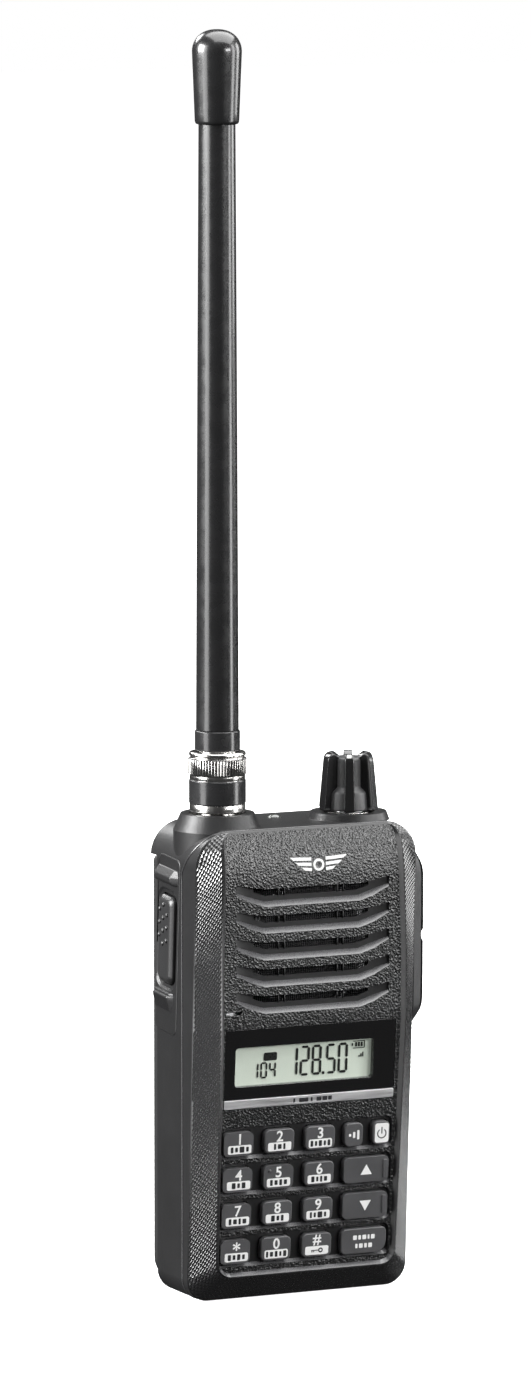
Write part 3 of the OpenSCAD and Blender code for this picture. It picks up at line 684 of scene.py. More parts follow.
def build_front_cover():
    shell = front_shell()
    recesses = bmesh.new()
    openings = bmesh.new()
    for top in LOUVRES:
        louvre_recess(top, recesses)
        louvre_opening(top, openings)
    slot = prism([(-23.0, 70.4), (-19.2, 70.4), (-18.6, 71.35), (-23.0, 71.15)], -HALF_D, -HALF_D + 3.5)
    window = prism(rounded(WINDOW_X[0], WINDOW_Z[0], WINDOW_X[1], WINDOW_Z[1], 0.5), -2, 5)
    prism([
        (WINDOW_X[0], STRIP_Z[0]), (WINDOW_X[1], STRIP_Z[0]),
        (WINDOW_X[1], STRIP_Z[1]), (WINDOW_X[0], STRIP_Z[1]),
    ], -2, 0.9, window)
    cut(
        shell,
        solid("recesses", recesses),
        solid("openings", openings),
        solid("slot", slot),
        solid("window", window, ON_FACE),
        face_cutter("channels", key_channels),
        face_cutter("wells", key_wells),
    )
    merge_flat(shell)
    shell.name = "front_cover_shell"
    place(shell, "radio", "front_plastic", FACE, SMOOTH, LIP_PAINTED_LIGHT, replaces=["front_cover"])
    round_edges(shell, 0.11, 2, 28)
    paint_cover(shell)


def paint_cover(shell):
    """Grain on the raised face; a much lighter copy of the plastic on the upward-sloping lips, a painted
    highlight; satin on walls, recesses and the narrow sides.
    """
    for polygon in shell.data.polygons:
        c = polygon.center / MM
        n = polygon.normal
        on_face = abs(c.y - sunken_y(c.z)) < 0.12 and n.y < -0.85
        # Faces that slope upward near the face get the lighter plastic: painted highlight.
        painted_lip = 0.35 < n.z < 0.9 and abs(c.x) < 24 and c.y < sunken_y(c.z) + 1.4 and c.z < 104
        polygon.material_index = 0 if on_face else 2 if painted_lip else 1


build_front_cover()


# ---- the knurl on the flanks ----

KNURL_STEP = 0.58
KNURL_HEIGHT = 0.24
KNURL_RIM = 0.3
KNURL_ROWS = 20
KNURL_VALLEY = 0.05
KNURL_BACK = 0.25


def build_knurl():
    """Small pyramids over the band between the ridge and the body's edge, all round but the top."""
    half_body = left_half_body(0)
    half_ridge = left_half_ridge(0)
    pairs = [
        (Vector((bx, flank_y(bz), bz)), Vector((rx, fading_ridge(i, rz), rz)))
        for i, ((bx, bz), (rx, rz)) in enumerate(zip(half_body, half_ridge))
    ]
    pairs += [(Vector((-b.x, b.y, b.z)), Vector((-r.x, r.y, r.z))) for b, r in pairs[::-1]]
    stations = []
    for (b0, r0), (b1, r1) in zip(pairs, pairs[1:]):
        length = ((b1 - b0).length + (r1 - r0).length) / 2
        steps = max(1, round(length / KNURL_STEP))
        stations += [(b0.lerp(b1, k / steps), r0.lerp(r1, k / steps)) for k in range(steps)]
    stations.append(pairs[-1])
    bm = bmesh.new()
    top, bottom = [], []
    for i, (b, r) in enumerate(stations):
        ahead = stations[min(i + 1, len(stations) - 1)][0] - stations[max(i - 1, 0)][0]
        across = b - r
        width = across.length
        normal = ahead.cross(across)
        normal.normalize()
        if normal.y > 0:
            normal = -normal
        usable = max(0.0, width - 2 * KNURL_RIM)
        column, under = [], []
        for j in range(KNURL_ROWS):
            d = min(j * KNURL_STEP, usable)
            inside = 0 < j * KNURL_STEP < usable - 0.05
            p = r + across * ((KNURL_RIM + d) / width)
            lift = KNURL_HEIGHT if inside and (i + j) % 2 else KNURL_VALLEY
            column.append(bm.verts.new(p + normal * lift))
            under.append(bm.verts.new(p - normal * KNURL_BACK))
        top.append(column)
        bottom.append(under)
    n = len(stations)
    for i in range(n - 1):
        for j in range(KNURL_ROWS - 1):
            a, b, c, d = top[i][j], top[i + 1][j], top[i + 1][j + 1], top[i][j + 1]
            if (i + j) % 2:
                bm.faces.new((a, b, d))
                bm.faces.new((b, c, d))
            else:
                bm.faces.new((a, b, c))
                bm.faces.new((a, c, d))
            bm.faces.new((bottom[i][j], bottom[i][j + 1], bottom[i + 1][j + 1], bottom[i + 1][j]))
        for j in (0, KNURL_ROWS - 1):
            bm.faces.new((top[i][j], bottom[i][j], bottom[i + 1][j], top[i + 1][j]))
    for i in (0, n - 1):
        for j in range(KNURL_ROWS - 1):
            bm.faces.new((top[i][j], top[i][j + 1], bottom[i][j + 1], bottom[i][j]))
    bmesh.ops.remove_doubles(bm, verts=bm.verts, dist=0.004)
    bmesh.ops.dissolve_degenerate(bm, edges=bm.edges, dist=0.002)
    bmesh.ops.recalc_face_normals(bm, faces=bm.faces)
    knurl = solid("flank_knurl", bm)
    place(knurl, "radio", "front_plastic", KNURL)


build_knurl()


# ---- speaker mesh, louvre ribs ----

def build_speaker_mesh():
    """A grid of fine wires behind the louvres."""
    low, high = box_mm("speaker_mesh")
    wire = 0.11
    pitch = 0.5
    bm = bmesh.new()
    y = (low.y + high.y) / 2
    count = int((high.x - low.x) / pitch)
    for i in range(count + 1):
        x = low.x + wire + i * pitch
        outline = circle(x, y - wire * 0.8, wire, 6)
        loft([[(p, q, low.z) for p, q in outline], [(p, q, high.z) for p, q in outline]], bm)
    count = int((high.z - low.z) / pitch)
    for i in range(count + 1):
        z = low.z + wire + i * pitch
        outline = circle(y + wire * 0.8, z, wire, 6)
        loft([[(low.x, p, q) for p, q in outline], [(high.x, p, q) for p, q in outline]], bm)
    grid = solid("speaker_wire_mesh", bm)
    place(grid, "radio", "dark_cloth", CLOTH, replaces=["speaker_mesh"])
    smooth(grid)


def build_louvre_ribs():
    """Pairs of thin upright ribs that stiffen each opening."""
    bm = bmesh.new()
    for top in LOUVRES:
        for x in (-8.6, -7.0, 7.0, 8.6):
            left, right = x - 0.16, x + 0.16
            outline = [(left, top - 2.1), (right, top - 2.1), (right, top + 0.2), (left, top + 0.2)]
            prism(outline, -HALF_D + SINK + 1.2, -HALF_D + 2.9, bm)
    ribs = solid("louvre_ribs", bm)
    place(ribs, "radio", "front_plastic", SMOOTH)
    round_edges(ribs, 0.06, 1)


build_speaker_mesh()
build_louvre_ribs()


# ---- display ----

GLASS_X = (-20.2, 16.5)
GLASS_Z = (-14.5, -4.9)
SEGMENT_Y = 1.42


def build_window():
    bm = prism(rounded(
        WINDOW_X[0] + 0.1, WINDOW_Z[0] + 0.1, WINDOW_X[1] - 0.1, WINDOW_Z[1] - 0.1, 0.5), 0.1, 1.5)
    plate = solid("window_mask", bm)
    hole = solid("hole", prism(rounded(GLASS_X[0], GLASS_Z[0], GLASS_X[1], GLASS_Z[1], 0.8), -1, 3))
    cut(plate, hole)
    merge_flat(plate)
    plate.data.transform(ON_FACE)
    place(plate, "radio", "window_plastic", WINDOW, replaces=["display_window"])
    round_edges(plate, 0.08, 2)
    pane = solid("window_pane", prism(rounded(
        GLASS_X[0] + 0.02, GLASS_Z[0] + 0.02, GLASS_X[1] - 0.02, GLASS_Z[1] - 0.02, 0.78), 0.2, 0.7), ON_FACE)
    place(pane, "radio", "lcd_glass", PANE)


SEGMENTS = {
    "0": "abcdef", "1": "bc", "2": "abged", "3": "abgcd", "4": "fgbc",
    "5": "afgcd", "6": "afgedc", "7": "abc", "8": "abcdefg", "9": "abfgcd",
}


def digit(bm, figure, x, z, w, h, t):
    """One seven-segment figure whose lower left corner is at x, z."""
    g = t * 0.14
    mid = z + h / 2
    level = {
        "a": (z + h - t / 2), "g": mid, "d": z + t / 2,
    }
    upright = {
        "f": (x + t / 2, mid, z + h), "b": (x + w - t / 2, mid, z + h),
        "e": (x + t / 2, z, mid), "c": (x + w - t / 2, z, mid),
    }
    for name in SEGMENTS[figure]:
        if name in level:
            zc = level[name]
            a, b = x + t * 0.5 + g, x + w - t * 0.5 - g
            outline = [
                (a, zc), (a + t / 2, zc - t / 2), (b - t / 2, zc - t / 2),
                (b, zc), (b - t / 2, zc + t / 2), (a + t / 2, zc + t / 2),
            ]
        else:
            xc, low, high = upright[name]
            low += t * (0.5 if name in "ec" else 0.0) + g
            high -= t * (0.5 if name in "fb" else 0.0) + g
            outline = [
                (xc, low), (xc + t / 2, low + t / 2), (xc + t / 2, high - t / 2),
                (xc, high), (xc - t / 2, high - t / 2), (xc - t / 2, low + t / 2),
            ]
        prism(outline, SEGMENT_Y, SEGMENT_Y + 0.1, bm)


def build_display():
    bm = bmesh.new()
    x = -5.6
    for figure in "12850":
        if figure == "5":
            prism(rounded(x - 0.35, -13.2, x + 0.35, -12.5, 0.2, 2), SEGMENT_Y, SEGMENT_Y + 0.1, bm)
            x += 0.7
        digit(bm, figure, x, -13.2, 2.6, 7.4, 0.6)
        x += 3.15
    for i, figure in enumerate("104"):
        digit(bm, figure, -15.2 + i * 2.3, -13.1, 1.8, 4.0, 0.42)
    # Memory flag, battery sign and a level mark
    prism(rounded(-12.1, -8.8, -8.6, -6.8, 0.4, 3), SEGMENT_Y, SEGMENT_Y + 0.1, bm)
    for i in range(3):
        prism(rounded(12.2 + i * 0.75, -7.0, 12.7 + i * 0.75, -5.9, 0.08, 1), SEGMENT_Y, SEGMENT_Y + 0.1, bm)
    for z in (-7.35, -5.65):
        prism(rounded(11.7, z - 0.1, 14.7, z + 0.1, 0.05, 1), SEGMENT_Y, SEGMENT_Y + 0.1, bm)
    prism(rounded(14.6, -7.25, 14.8, -5.55, 0.05, 1), SEGMENT_Y, SEGMENT_Y + 0.1, bm)
    prism(rounded(11.3, -6.8, 11.6, -6.1, 0.05, 1), SEGMENT_Y, SEGMENT_Y + 0.1, bm)
    for i in range(3):
        bar = rounded(13.2 + i * 0.5, -9.6, 13.5 + i * 0.5, -9.2 + i * 0.4, 0.05, 1)
        prism(bar, SEGMENT_Y, SEGMENT_Y + 0.1, bm)
    ink = solid("display_segments", bm, ON_FACE)
    place(ink, "radio", "lcd_glass", SEGMENT)


build_window()
build_display()


# ---- key legends ----

FIGURE_SIZE = 3.65
KEY_TOP_Y = -0.9


def figure_mesh(text, size, thickness=0.05, bold=0.065):
    """A figure as a closed mesh in its own XY plane, centred on the origin."""
    curve = bpy.data.curves.new("figure", "FONT")
    curve.body = text
    curve.size = size
    curve.extrude = thickness / 2
    curve.offset = bold
    curve.resolution_u = 4
    curve.align_x = "CENTER"
    curve.align_y = "CENTER"
    obj = bpy.data.objects.new("figure", curve)
    bpy.context.scene.collection.objects.link(obj)
    graph = bpy.context.evaluated_depsgraph_get()
    graph.update()
    mesh = bpy.data.meshes.new_from_object(obj.evaluated_get(graph))
    bpy.data.objects.remove(obj)
    return mesh


def add_figure(bm, text, size, x, z, y=KEY_TOP_Y):
    mesh = figure_mesh(text, size)
    low = min(v.co.y for v in mesh.vertices)
    high = max(v.co.y for v in mesh.vertices)
    mesh.transform(Matrix.Translation((0, -(low + high) / 2, 0)))
    mesh.transform(Matrix.Translation((x, y, z)) @ FACING_FRONT)
    bm.from_mesh(mesh)
    bpy.data.meshes.remove(mesh)


def flat_shape(bm, outline, y=KEY_TOP_Y, thickness=0.04, index=0):
    before = len(bm.faces)
    prism(outline, y - thickness, y + 0.1, bm)
    bm.faces.ensure_lookup_table()
    for face in bm.faces[before:]:
        face.material_index = index


def ring_shape(bm, cx, cz, r_out, r_in, start, sweep, y=KEY_TOP_Y, thickness=0.04, index=0, steps=24):
    """Part of a flat ring, angles in degrees."""
    angles = [math.radians(start + sweep * i / steps) for i in range(steps + 1)]
    outline = [(cx + r_out * math.cos(a), cz + r_out * math.sin(a)) for a in angles]
    outline += [(cx + r_in * math.cos(a), cz + r_in * math.sin(a)) for a in angles[::-1]]
    flat_shape(bm, outline, y, thickness, index)


LABEL_MARKS = {
    "1": (0.5, 0.5, 0.9, 0.5), "2": (0.4, 0.7, 0.4), "3": (0.5, 0.4, 0.6, 0.4, 0.5),
    "4": (0.7, 0.5, 0.7), "5": (0.5, 0.6, 0.5, 0.6), "6": (0.6, 0.4, 0.4, 0.6),
    "7": (0.5, 0.7, 0.4, 0.7), "8": (0.7, 0.5, 0.5), "9": (0.4, 0.4, 0.9, 0.4),
    "star": (0.6, 0.5, 0.6, 0.5), "0": (0.4, 0.6, 0.5, 0.4, 0.6), "hash": (),
}


def label_plate(bm, name, xc, z0):
    """The white plate in the lower half of a key, with plain dark marks in place of words."""
    flat_shape(bm, rounded(xc - 3.1, z0 + 0.55, xc + 3.1, z0 + 2.65, 0.45, 4))
    marks = LABEL_MARKS[name]
    y = KEY_TOP_Y - 0.045
    gap = 0.5
    marks = [width * 1.35 for width in marks]
    x = xc - (sum(marks) + gap * (len(marks) - 1)) / 2
    for i, width in enumerate(marks):
        tall = 1.15 if i % 2 else 1.45
        flat_shape(bm, rounded(x, z0 + 1.6 - tall / 2, x + width, z0 + 1.6 + tall / 2, 0.14, 2), y, 0.03, 1)
        x += width + gap
    if name == "hash":
        ring_shape(bm, xc + 1.0, z0 + 1.6, 0.6, 0.3, 0, 360, y, 0.03, 1)
        flat_shape(bm, rounded(xc - 1.5, z0 + 1.5, xc + 0.5, z0 + 1.72, 0.05, 1), y, 0.03, 1)
        for dx in (-1.4, -0.9):
            flat_shape(bm, rounded(xc + dx, z0 + 1.15, xc + dx + 0.22, z0 + 1.6, 0.05, 1), y, 0.03, 1)


def build_legend(node):
    name = node[len("key_"):]
    x0, x1, z0, z1 = key_frame(node)
    xc = (x0 + x1) / 2
    zc = (z0 + z1) / 2
    bm = bmesh.new()
    if name in LABEL_MARKS:
        signs = {"star": "*", "hash": "#"}
        sign = signs.get(name, name)
        lift = {"star": 0.1, "hash": 0.0}.get(name, 0.0)
        add_figure(bm, sign, FIGURE_SIZE * (1.25 if name == "star" else 1.0), xc, z0 + 4.15 + lift)
        label_plate(bm, name, xc, z0)
        materials = (WHITE_INK, DARK_INK)
    elif name in ("up", "down"):
        s = 1 if name == "up" else -1
        flat_shape(bm, [(xc - 1.5, zc - 1.2 * s), (xc + 1.5, zc - 1.2 * s), (xc, zc + 1.3 * s)][::s])
        materials = (WHITE_INK,)
    elif name == "power":
        y = KEY_TOP_Y - 0.045
        flat_shape(bm, rounded(x0 + 0.55, z0 + 0.5, x1 - 0.3, z1 - 0.5, 0.6, 5))
        ring_shape(bm, xc + 0.12, zc - 0.15, 1.25, 0.98, 125, 290, y, 0.03, 1)
        flat_shape(bm, rounded(xc - 0.02, zc - 0.2, xc + 0.26, zc + 1.45, 0.06, 2), y, 0.03, 1)
        materials = (WHITE_INK, DARK_INK)
    elif name == "monitor":
        for i, half in enumerate((0.35, 0.75, 1.15)):
            flat_shape(bm, rounded(xc - 1.4 + i * 1.1, zc - half, xc - 0.8 + i * 1.1, zc + half, 0.15, 2))
        materials = (WHITE_INK,)
    else:
        for row, widths in enumerate(((1.0, 0.7, 1.0, 0.5, 1.0), (0.6, 1.0, 0.7, 1.0))):
            gap = 0.4
            x = xc - (sum(widths) + gap * (len(widths) - 1)) / 2
            for width in widths:
                z = zc + 0.95 - row * 2.1
                flat_shape(bm, rounded(x, z - 0.55, x + width, z + 0.55, 0.16, 2))
                x += width + gap
        materials = (WHITE_INK,)
    legend = solid("legend_" + name, bm, ON_FACE)
    place(legend, node + "_body", "white_key", *materials)


for key_node in KEY_NODES:
    build_legend(key_node)


# ---- sign on the face and marks on the strip ----

def build_wing_sign():
    """A plain winged disc, laid on the rolled top of the face."""
    bm = bmesh.new()
    cx, cz = 1.6, 105.2
    shapes = []
    for length, drop in ((7.6, 1.7), (6.2, 0.45), (4.6, -0.8)):
        for side in (-1, 1):
            z = cz + drop
            pts = [(1.9, z - 0.35), (length - 0.9, z - 0.35 + 0.25), (length, z + 0.65), (1.9, z + 0.4)]
            outline = [(cx + side * x, zz) for x, zz in pts]
            shapes.append(outline)
    for outline in shapes:
        ring0 = [(x, sunken_y(z) - 0.07, z) for x, z in outline]
        ring1 = [(x, sunken_y(z) + 0.1, z) for x, z in outline]
        loft([ring0, ring1], bm)
    outer = circle(cx, cz + 0.3, 1.45, 28)
    inner = circle(cx, cz + 0.3, 0.9, 28)
    for i in range(28):
        j = (i + 1) % 28
        quad = [outer[i], outer[j], inner[j], inner[i]]
        front = [(x, sunken_y(z) - 0.07, z) for x, z in quad]
        back = [(x, sunken_y(z) + 0.1, z) for x, z in quad]
        loft([front, back], bm)
    sign = solid("wing_sign", bm)
    place(sign, "radio", "white_key", WHITE_INK)


def build_strip_marks():
    bm = bmesh.new()
    z = (STRIP_Z[0] + STRIP_Z[1]) / 2
    for i, width in enumerate((0.5, 1.6, 0.9, 0.5, 1.3, 1.3, 1.0)):
        x = -4.6 + i * 1.55
        flat_shape(bm, rounded(x, z - 0.5, x + width, z + 0.5, 0.12, 2), -0.05, 0.03)
    marks = solid("strip_marks", bm, ON_FACE)
    place(marks, "radio", "silver_trim", DARK_INK)


build_wing_sign()
build_strip_marks()


# ---- antenna and its coupling ----

SHEATH_LOW, SHEATH_HIGH = box_mm("antenna_sheath")
ANTENNA_X = (SHEATH_LOW.x + SHEATH_HIGH.x) / 2
CAP_LOW, CAP_HIGH = box_mm("antenna_cap")
FERRULE_LOW, FERRULE_HIGH = box_mm("antenna_ferrule")
RING_LOW = box_mm("coupling_ring")[0]
SLEEVE_LOW, SLEEVE_HIGH = box_mm("coupling_sleeve")


def build_sheath():
    z0, z1 = SHEATH_LOW.z, SHEATH_HIGH.z
    span = z1 - z0
    profile = [(0, z0), (5.0, z0), (5.15, z0 + 0.15)]
    profile += [(5.15 - 0.75 * (i / 24) ** 1.05, z0 + 0.3 + (span - 0.3) * i / 24) for i in range(25)]
    profile += [(0, z1)]
    rod = solid("antenna_rod", lathe(profile, ANTENNA_X, 0, 96))
    place(rod, "radio", "antenna_skin", ANTENNA, replaces=["antenna_sheath"])
    round_edges(rod, 0.08, 2, 40)


def build_cap():
    z0, z1 = CAP_LOW.z, CAP_HIGH.z
    profile = [(0, z0), (4.6, z0), (4.95, z0 + 0.1), (5.2, z0 + 0.4), (5.3, z0 + 0.9)]
    profile += [(5.3 + 0.63 * (i / 10), z0 + 0.9 + (z1 - 5.2 - z0 - 0.9) * i / 10) for i in range(1, 11)]
    profile += [
        (5.93 * math.cos(math.radians(a)) ** 0.85, z1 - 5.2 + 5.2 * math.sin(math.radians(a)))
        for a in (8, 16, 25, 34, 43, 52, 61, 70, 79, 85)
    ]
    profile += [(0, z1)]
    cap = solid("antenna_tip", lathe(profile, ANTENNA_X, 0, 96))
    place(cap, "radio", "antenna_skin", ANTENNA, replaces=["antenna_cap"])
    smooth(cap)


def build_ferrule():
    z0, z1 = FERRULE_LOW.z, FERRULE_HIGH.z
    profile = [
        (1.3, z0), (5.1, z0), (5.35, z0 + 0.1), (5.45, z0 + 0.35),
        (5.45, z1 - 0.25), (5.35, z1 - 0.08), (5.2, z1), (1.3, z1),
    ]
    ferrule = solid("antenna_collar", lathe(profile, ANTENNA_X, 0, 96))
    place(ferrule, "radio", "antenna_skin", SLEEVE, replaces=["antenna_ferrule"])
    round_edges(ferrule, 0.05, 2, 40)


def build_coupling():
    """The nickel ring; its grip has fine upright teeth, with painted shade in the hollows between them. Its
    bore is plain, without the bayonet track.
    """
    z0 = RING_LOW.z
    teeth = 60

    def toothed(r, z, a):
        if r < 7.0:
            return r
        wave = abs(((a * teeth / (2 * math.pi)) % 1) * 2 - 1)
        return 6.82 + 0.33 * min(1.0, wave * 1.5)

    profile = [
        (5.0, z0), (6.45, z0), (6.65, z0 + 0.15), (6.7, z0 + 0.4), (6.7, 119.75), (6.6, 119.9), (6.5, 119.95),
        (6.5, 125.75), (6.6, 125.8), (6.68, 125.95), (6.68, 126.7), (6.6, 126.95),
        (6.85, 127.02), (7.15, 127.2), (7.15, 130.7), (6.85, 130.9),
        (6.6, 130.95), (6.5, 131.15), (6.55, 131.4), (6.8, 131.55),
        (6.85, 131.8), (6.8, 132.1), (6.6, 132.35),
        (6.3, 132.4), (4.75, 132.4), (4.75, z0 + 9.2), (5.0, z0 + 9.0),
    ]
    bm = bmesh.new()
    steps = teeth * 6
    loops = []
    for r, z in profile + profile[:1]:
        if (r, z) == profile[0] and loops:
            loops.append(loops[0])
            continue
        loop = []
        for i in range(steps):
            a = 2 * math.pi * i / steps
            k = toothed(r, z, a)
            loop.append(bm.verts.new((ANTENNA_X + k * math.cos(a), k * math.sin(a), z)))
        loops.append(loop)
    for a, b in zip(loops, loops[1:]):
        for i in range(steps):
            j = (i + 1) % steps
            face = bm.faces.new((a[i], a[j], b[j], b[i]))
            middle = face.calc_center_median()
            depth = math.hypot(middle.x - ANTENNA_X, middle.y)
            # Faces deep between the teeth take the near-black metal: painted shade.
            if 127.1 < middle.z < 130.8 and depth < 7.0:
                face.material_index = 1
    bmesh.ops.recalc_face_normals(bm, faces=bm.faces)
    ring = solid("nickel_coupling", bm)
    place(ring, "antenna_coupling", "nickel", NICKEL, NICKEL_GROOVE_SHADE, replaces=["coupling_ring"])
    smooth(ring)
    edges = ring.modifiers.new("normals", "WEIGHTED_NORMAL")
    edges.keep_sharp = True


def hoop(profile, cx, steps=96):
    """Turns a closed profile of (radius, z) round the upright axis at cx."""
    bm = bmesh.new()
    loops = [
        [bm.verts.new((cx + r * math.cos(2 * math.pi * i / steps), r * math.sin(2 * math.pi * i / steps), z))
         for i in range(steps)]
        for r, z in profile
    ]
    for a, b in zip(loops, loops[1:] + loops[:1]):
        for i in range(steps):
            j = (i + 1) % steps
            bm.faces.new((a[i], a[j], b[j], b[i]))
    bmesh.ops.recalc_face_normals(bm, faces=bm.faces)
    return bm


def build_collar_foot():
    """The antenna's collar runs down into the rounded corner of the body."""
    profile = [(9.35, 104.5), (10.45, 104.5), (10.62, 113.7), (9.35, 113.7)]
    foot = solid("collar_foot", hoop(profile, ANTENNA_X))
    place(foot, "radio", "case_plastic", CASE)
    round_edges(foot, 0.05, 2, 30)


def build_sleeve():
    z0, z1 = SLEEVE_LOW.z, SLEEVE_HIGH.z
    profile = [(6.52, z0), (6.72, z0), (6.85, z0 + 0.18), (6.85, z1 - 0.18), (6.72, z1), (6.52, z1)]
    band = solid("black_band", hoop(profile, ANTENNA_X))
    place(band, "antenna_coupling", "antenna_skin", SLEEVE, replaces=["coupling_sleeve"])
    round_edges(band, 0.05, 2, 30)


build_sheath()
build_cap()
build_ferrule()
build_coupling()
build_sleeve()
build_collar_foot()


# ---- talk button, its surround and the finger ledges ----

ON_SIDE = Matrix.Translation((0, 5.8, 86.8)) @ Matrix.Rotation(math.radians(3.6), 4, "X")
SIDE_X = -HALF_W
PLATE_X = SIDE_X - 0.1
BUTTON_HALF_Y = 4.0
BUTTON_HALF_Z = 10.7
# Grip bumps on the button as (y, z), in three staggered columns
BUMPS = [
    (2.46, 7.1), (2.46, 3.95), (2.46, 0.8),
    (0.5, 8.4), (0.5, 5.2), (0.5, 2.05), (0.5, -1.1),
    (-1.5, 6.2), (-1.5, 3.05), (-1.5, -0.1),
]


def side_ring(x, inset, radius):
    """The button's outline at a depth, as (x, y, z)."""
    half_y = BUTTON_HALF_Y - inset
    half_z = BUTTON_HALF_Z - inset
    outline = rounded(-half_y, -half_z, half_y, half_z, radius, 8)
    return [(x, y, z) for y, z in outline]


def dome(bm, y, z, x, radius, height):
    """A small round bump that stands out to the left of a face at x."""
    rings = []
    for k in range(5):
        a = math.radians(90 * k / 5)
        r = radius * math.cos(a)
        rings.append([
            (x - height * math.sin(a), y + r * math.cos(t), z + r * math.sin(t))
            for t in [2 * math.pi * i / 16 for i in range(16)]
        ])
    loft([[(x + 0.2, p[1], p[2]) for p in rings[0]]] + rings, bm)


def build_talk_button():
    bm = loft([
        side_ring(-28.2, 0, 2.0), side_ring(-29.25, 0, 2.0), side_ring(-29.5, 0.12, 1.95),
        side_ring(-30.0, 0.78, 1.5), side_ring(-30.15, 1.05, 1.3), side_ring(-30.2, 1.6, 1.0),
    ])
    for y, z in BUMPS:
        dome(bm, y, z, -30.19, 0.6, 0.42)
    button = solid("talk_button_cap", bm, ON_SIDE)
    place(button, "talk_button", "button_rubber", BUTTON, replaces=["ptt_button"])
    round_edges(button, 0.06, 2, 34)


def build_surround():
    """The plate round the button with its dished opening and the seams at its ends."""
    outline = rounded(-6.5, -22.7, 5.4, 20.3, 1.7, 6)
    inner = rounded(-6.3, -22.5, 5.2, 20.1, 1.6, 6)
    bm = loft([
        [(-28.72, y, z) for y, z in outline],
        [(PLATE_X + 0.12, y, z) for y, z in outline],
        [(PLATE_X, y, z) for y, z in inner],
    ])
    plate = solid("surround", bm)
    dish = loft([side_ring(x, -grow, 2.0 + grow) for x, grow in (
        (-31.0, 2.0), (PLATE_X, 1.75), (-28.95, 1.15), (-28.85, 0.35), (-28.0, 0.35),
    )])
    cut(plate, solid("dish", dish))
    merge_flat(plate)
    plate.data.transform(ON_SIDE)
    place(plate, "radio", "case_plastic", CASE, replaces=["ptt_bezel"])
    round_edges(plate, 0.12, 2, 25)


LEDGE_ROOT = 0.3


def ledge(profile, y_front, y_back, end):
    """A finger ledge: a profile of (how far out, z) run along the side, with its front end drawn in."""
    rings = []
    for y, share in ((y_front, 0.02), (y_front + end, 0.85), (y_front + end + 0.3, 1.0), (y_back, 1.0)):
        rings.append([(SIDE_X - out * share if out else SIDE_X + LEDGE_ROOT, y, z) for out, z in profile])
    return loft(rings)


def build_ledges():
    upper = [(0.0, 17.7), (0.35, 17.5), (1.45, 15.9), (1.55, 15.6), (1.5, 14.6), (1.1, 13.9), (0.0, 13.3)]
    lower = [
        (0.0, -12.5), (0.55, -12.7), (0.75, -13.0), (0.7, -13.35), (1.05, -13.45), (1.2, -13.75),
        (1.05, -14.6), (0.3, -17.2), (0.0, -17.4),
    ]
    for name, profile, front, end in (("upper_ledge", upper, -5.7, 1.7), ("lower_ledge", lower, -4.6, 1.5)):
        piece = solid(name, ledge(profile, front, 4.9, end), ON_SIDE)
        place(piece, "radio", "case_plastic", CASE)
        round_edges(piece, 0.14, 2, 20)


build_talk_button()
build_surround()
build_ledges()


# ---- bead along the chassis's front edge ----

RIM_RADIUS = 0.34


def closed_tube(path, radius, sides=10):
    """A round bead along a closed path."""
    bm = bmesh.new()
    loops = []
    for i, point in enumerate(path):
        along = (path[(i + 1) % len(path)] - path[i - 1]).normalized()
        out = along.cross(Vector((0, 1, 0))).normalized()
        deep = along.cross(out)
        loops.append([
            bm.verts.new(point + radius * (math.cos(a) * out + math.sin(a) * deep))
            for a in [2 * math.pi * k / sides for k in range(sides)]
        ])
    for a, b in zip(loops, loops[1:] + loops[:1]):
        for i in range(sides):
            j = (i + 1) % sides
            bm.faces.new((a[i], a[j], b[j], b[i]))
    bmesh.ops.recalc_face_normals(bm, faces=bm.faces)
    return bm


def build_rim():
    half = left_half_body(RIM_RADIUS - 0.12)
    points = both_halves(half, lambda i, z: parting_y(z) + GASKET + RIM_RADIUS - 0.1)
    path = [Vector(p) for p in points]
    bead = solid("chassis_rim", closed_tube(path, RIM_RADIUS))
    # The bead's lighter tone is painted highlight along the chassis edge.
    place(bead, "radio", "case_plastic", RIM_PAINTED_HIGHLIGHT)
    smooth(bead)


build_rim()


# ---- jack cover ----

COVER_X0 = HALF_W + 0.2
# How far the cover stands out at each height, as a share of its full reach
COVER_LEVELS = [
    (62.5, 0.06), (63.2, 0.20), (64.2, 0.34), (65.8, 0.60), (67.4, 0.83), (68.6, 0.92),
    (70.0, 0.955), (76.0, 0.975), (83.4, 0.98), (83.9, 0.985), (84.9, 0.985), (86.3, 0.985),
    (87.0, 0.99), (88.0, 1.0), (95.0, 1.0), (100.6, 1.0), (102.2, 0.95), (103.6, 0.83),
    (105.2, 0.62), (106.8, 0.38), (108.0, 0.17), (108.6, 0.05),
]
NOTCH_Z = (84.6, 86.5)
NOTCH_DEPTH = 0.5
HINGE_X = 29.9
HINGE_Y = 10.2
HINGE_R = 0.5
HINGE_Z = (72.0, 98.0)
# The cover's section as (x, y): front slope, bead, groove, outer band, back slope
COVER_SECTION = [
    (0.0, -7.1), (0.35, -7.65), (0.8, -7.72), (2.75, -7.1), (3.05, -6.95), (3.2, -6.7), (3.22, -6.35),
    (3.42, -6.35), (3.46, -6.6), (3.62, -6.72), (3.9, -6.5), (4.08, -6.1), (4.1, -5.6),
    (4.1, 5.4), (3.9, 6.3), (3.3, 7.3), (1.6, 9.4), (1.2, 9.7), (0.0, 9.8),
]


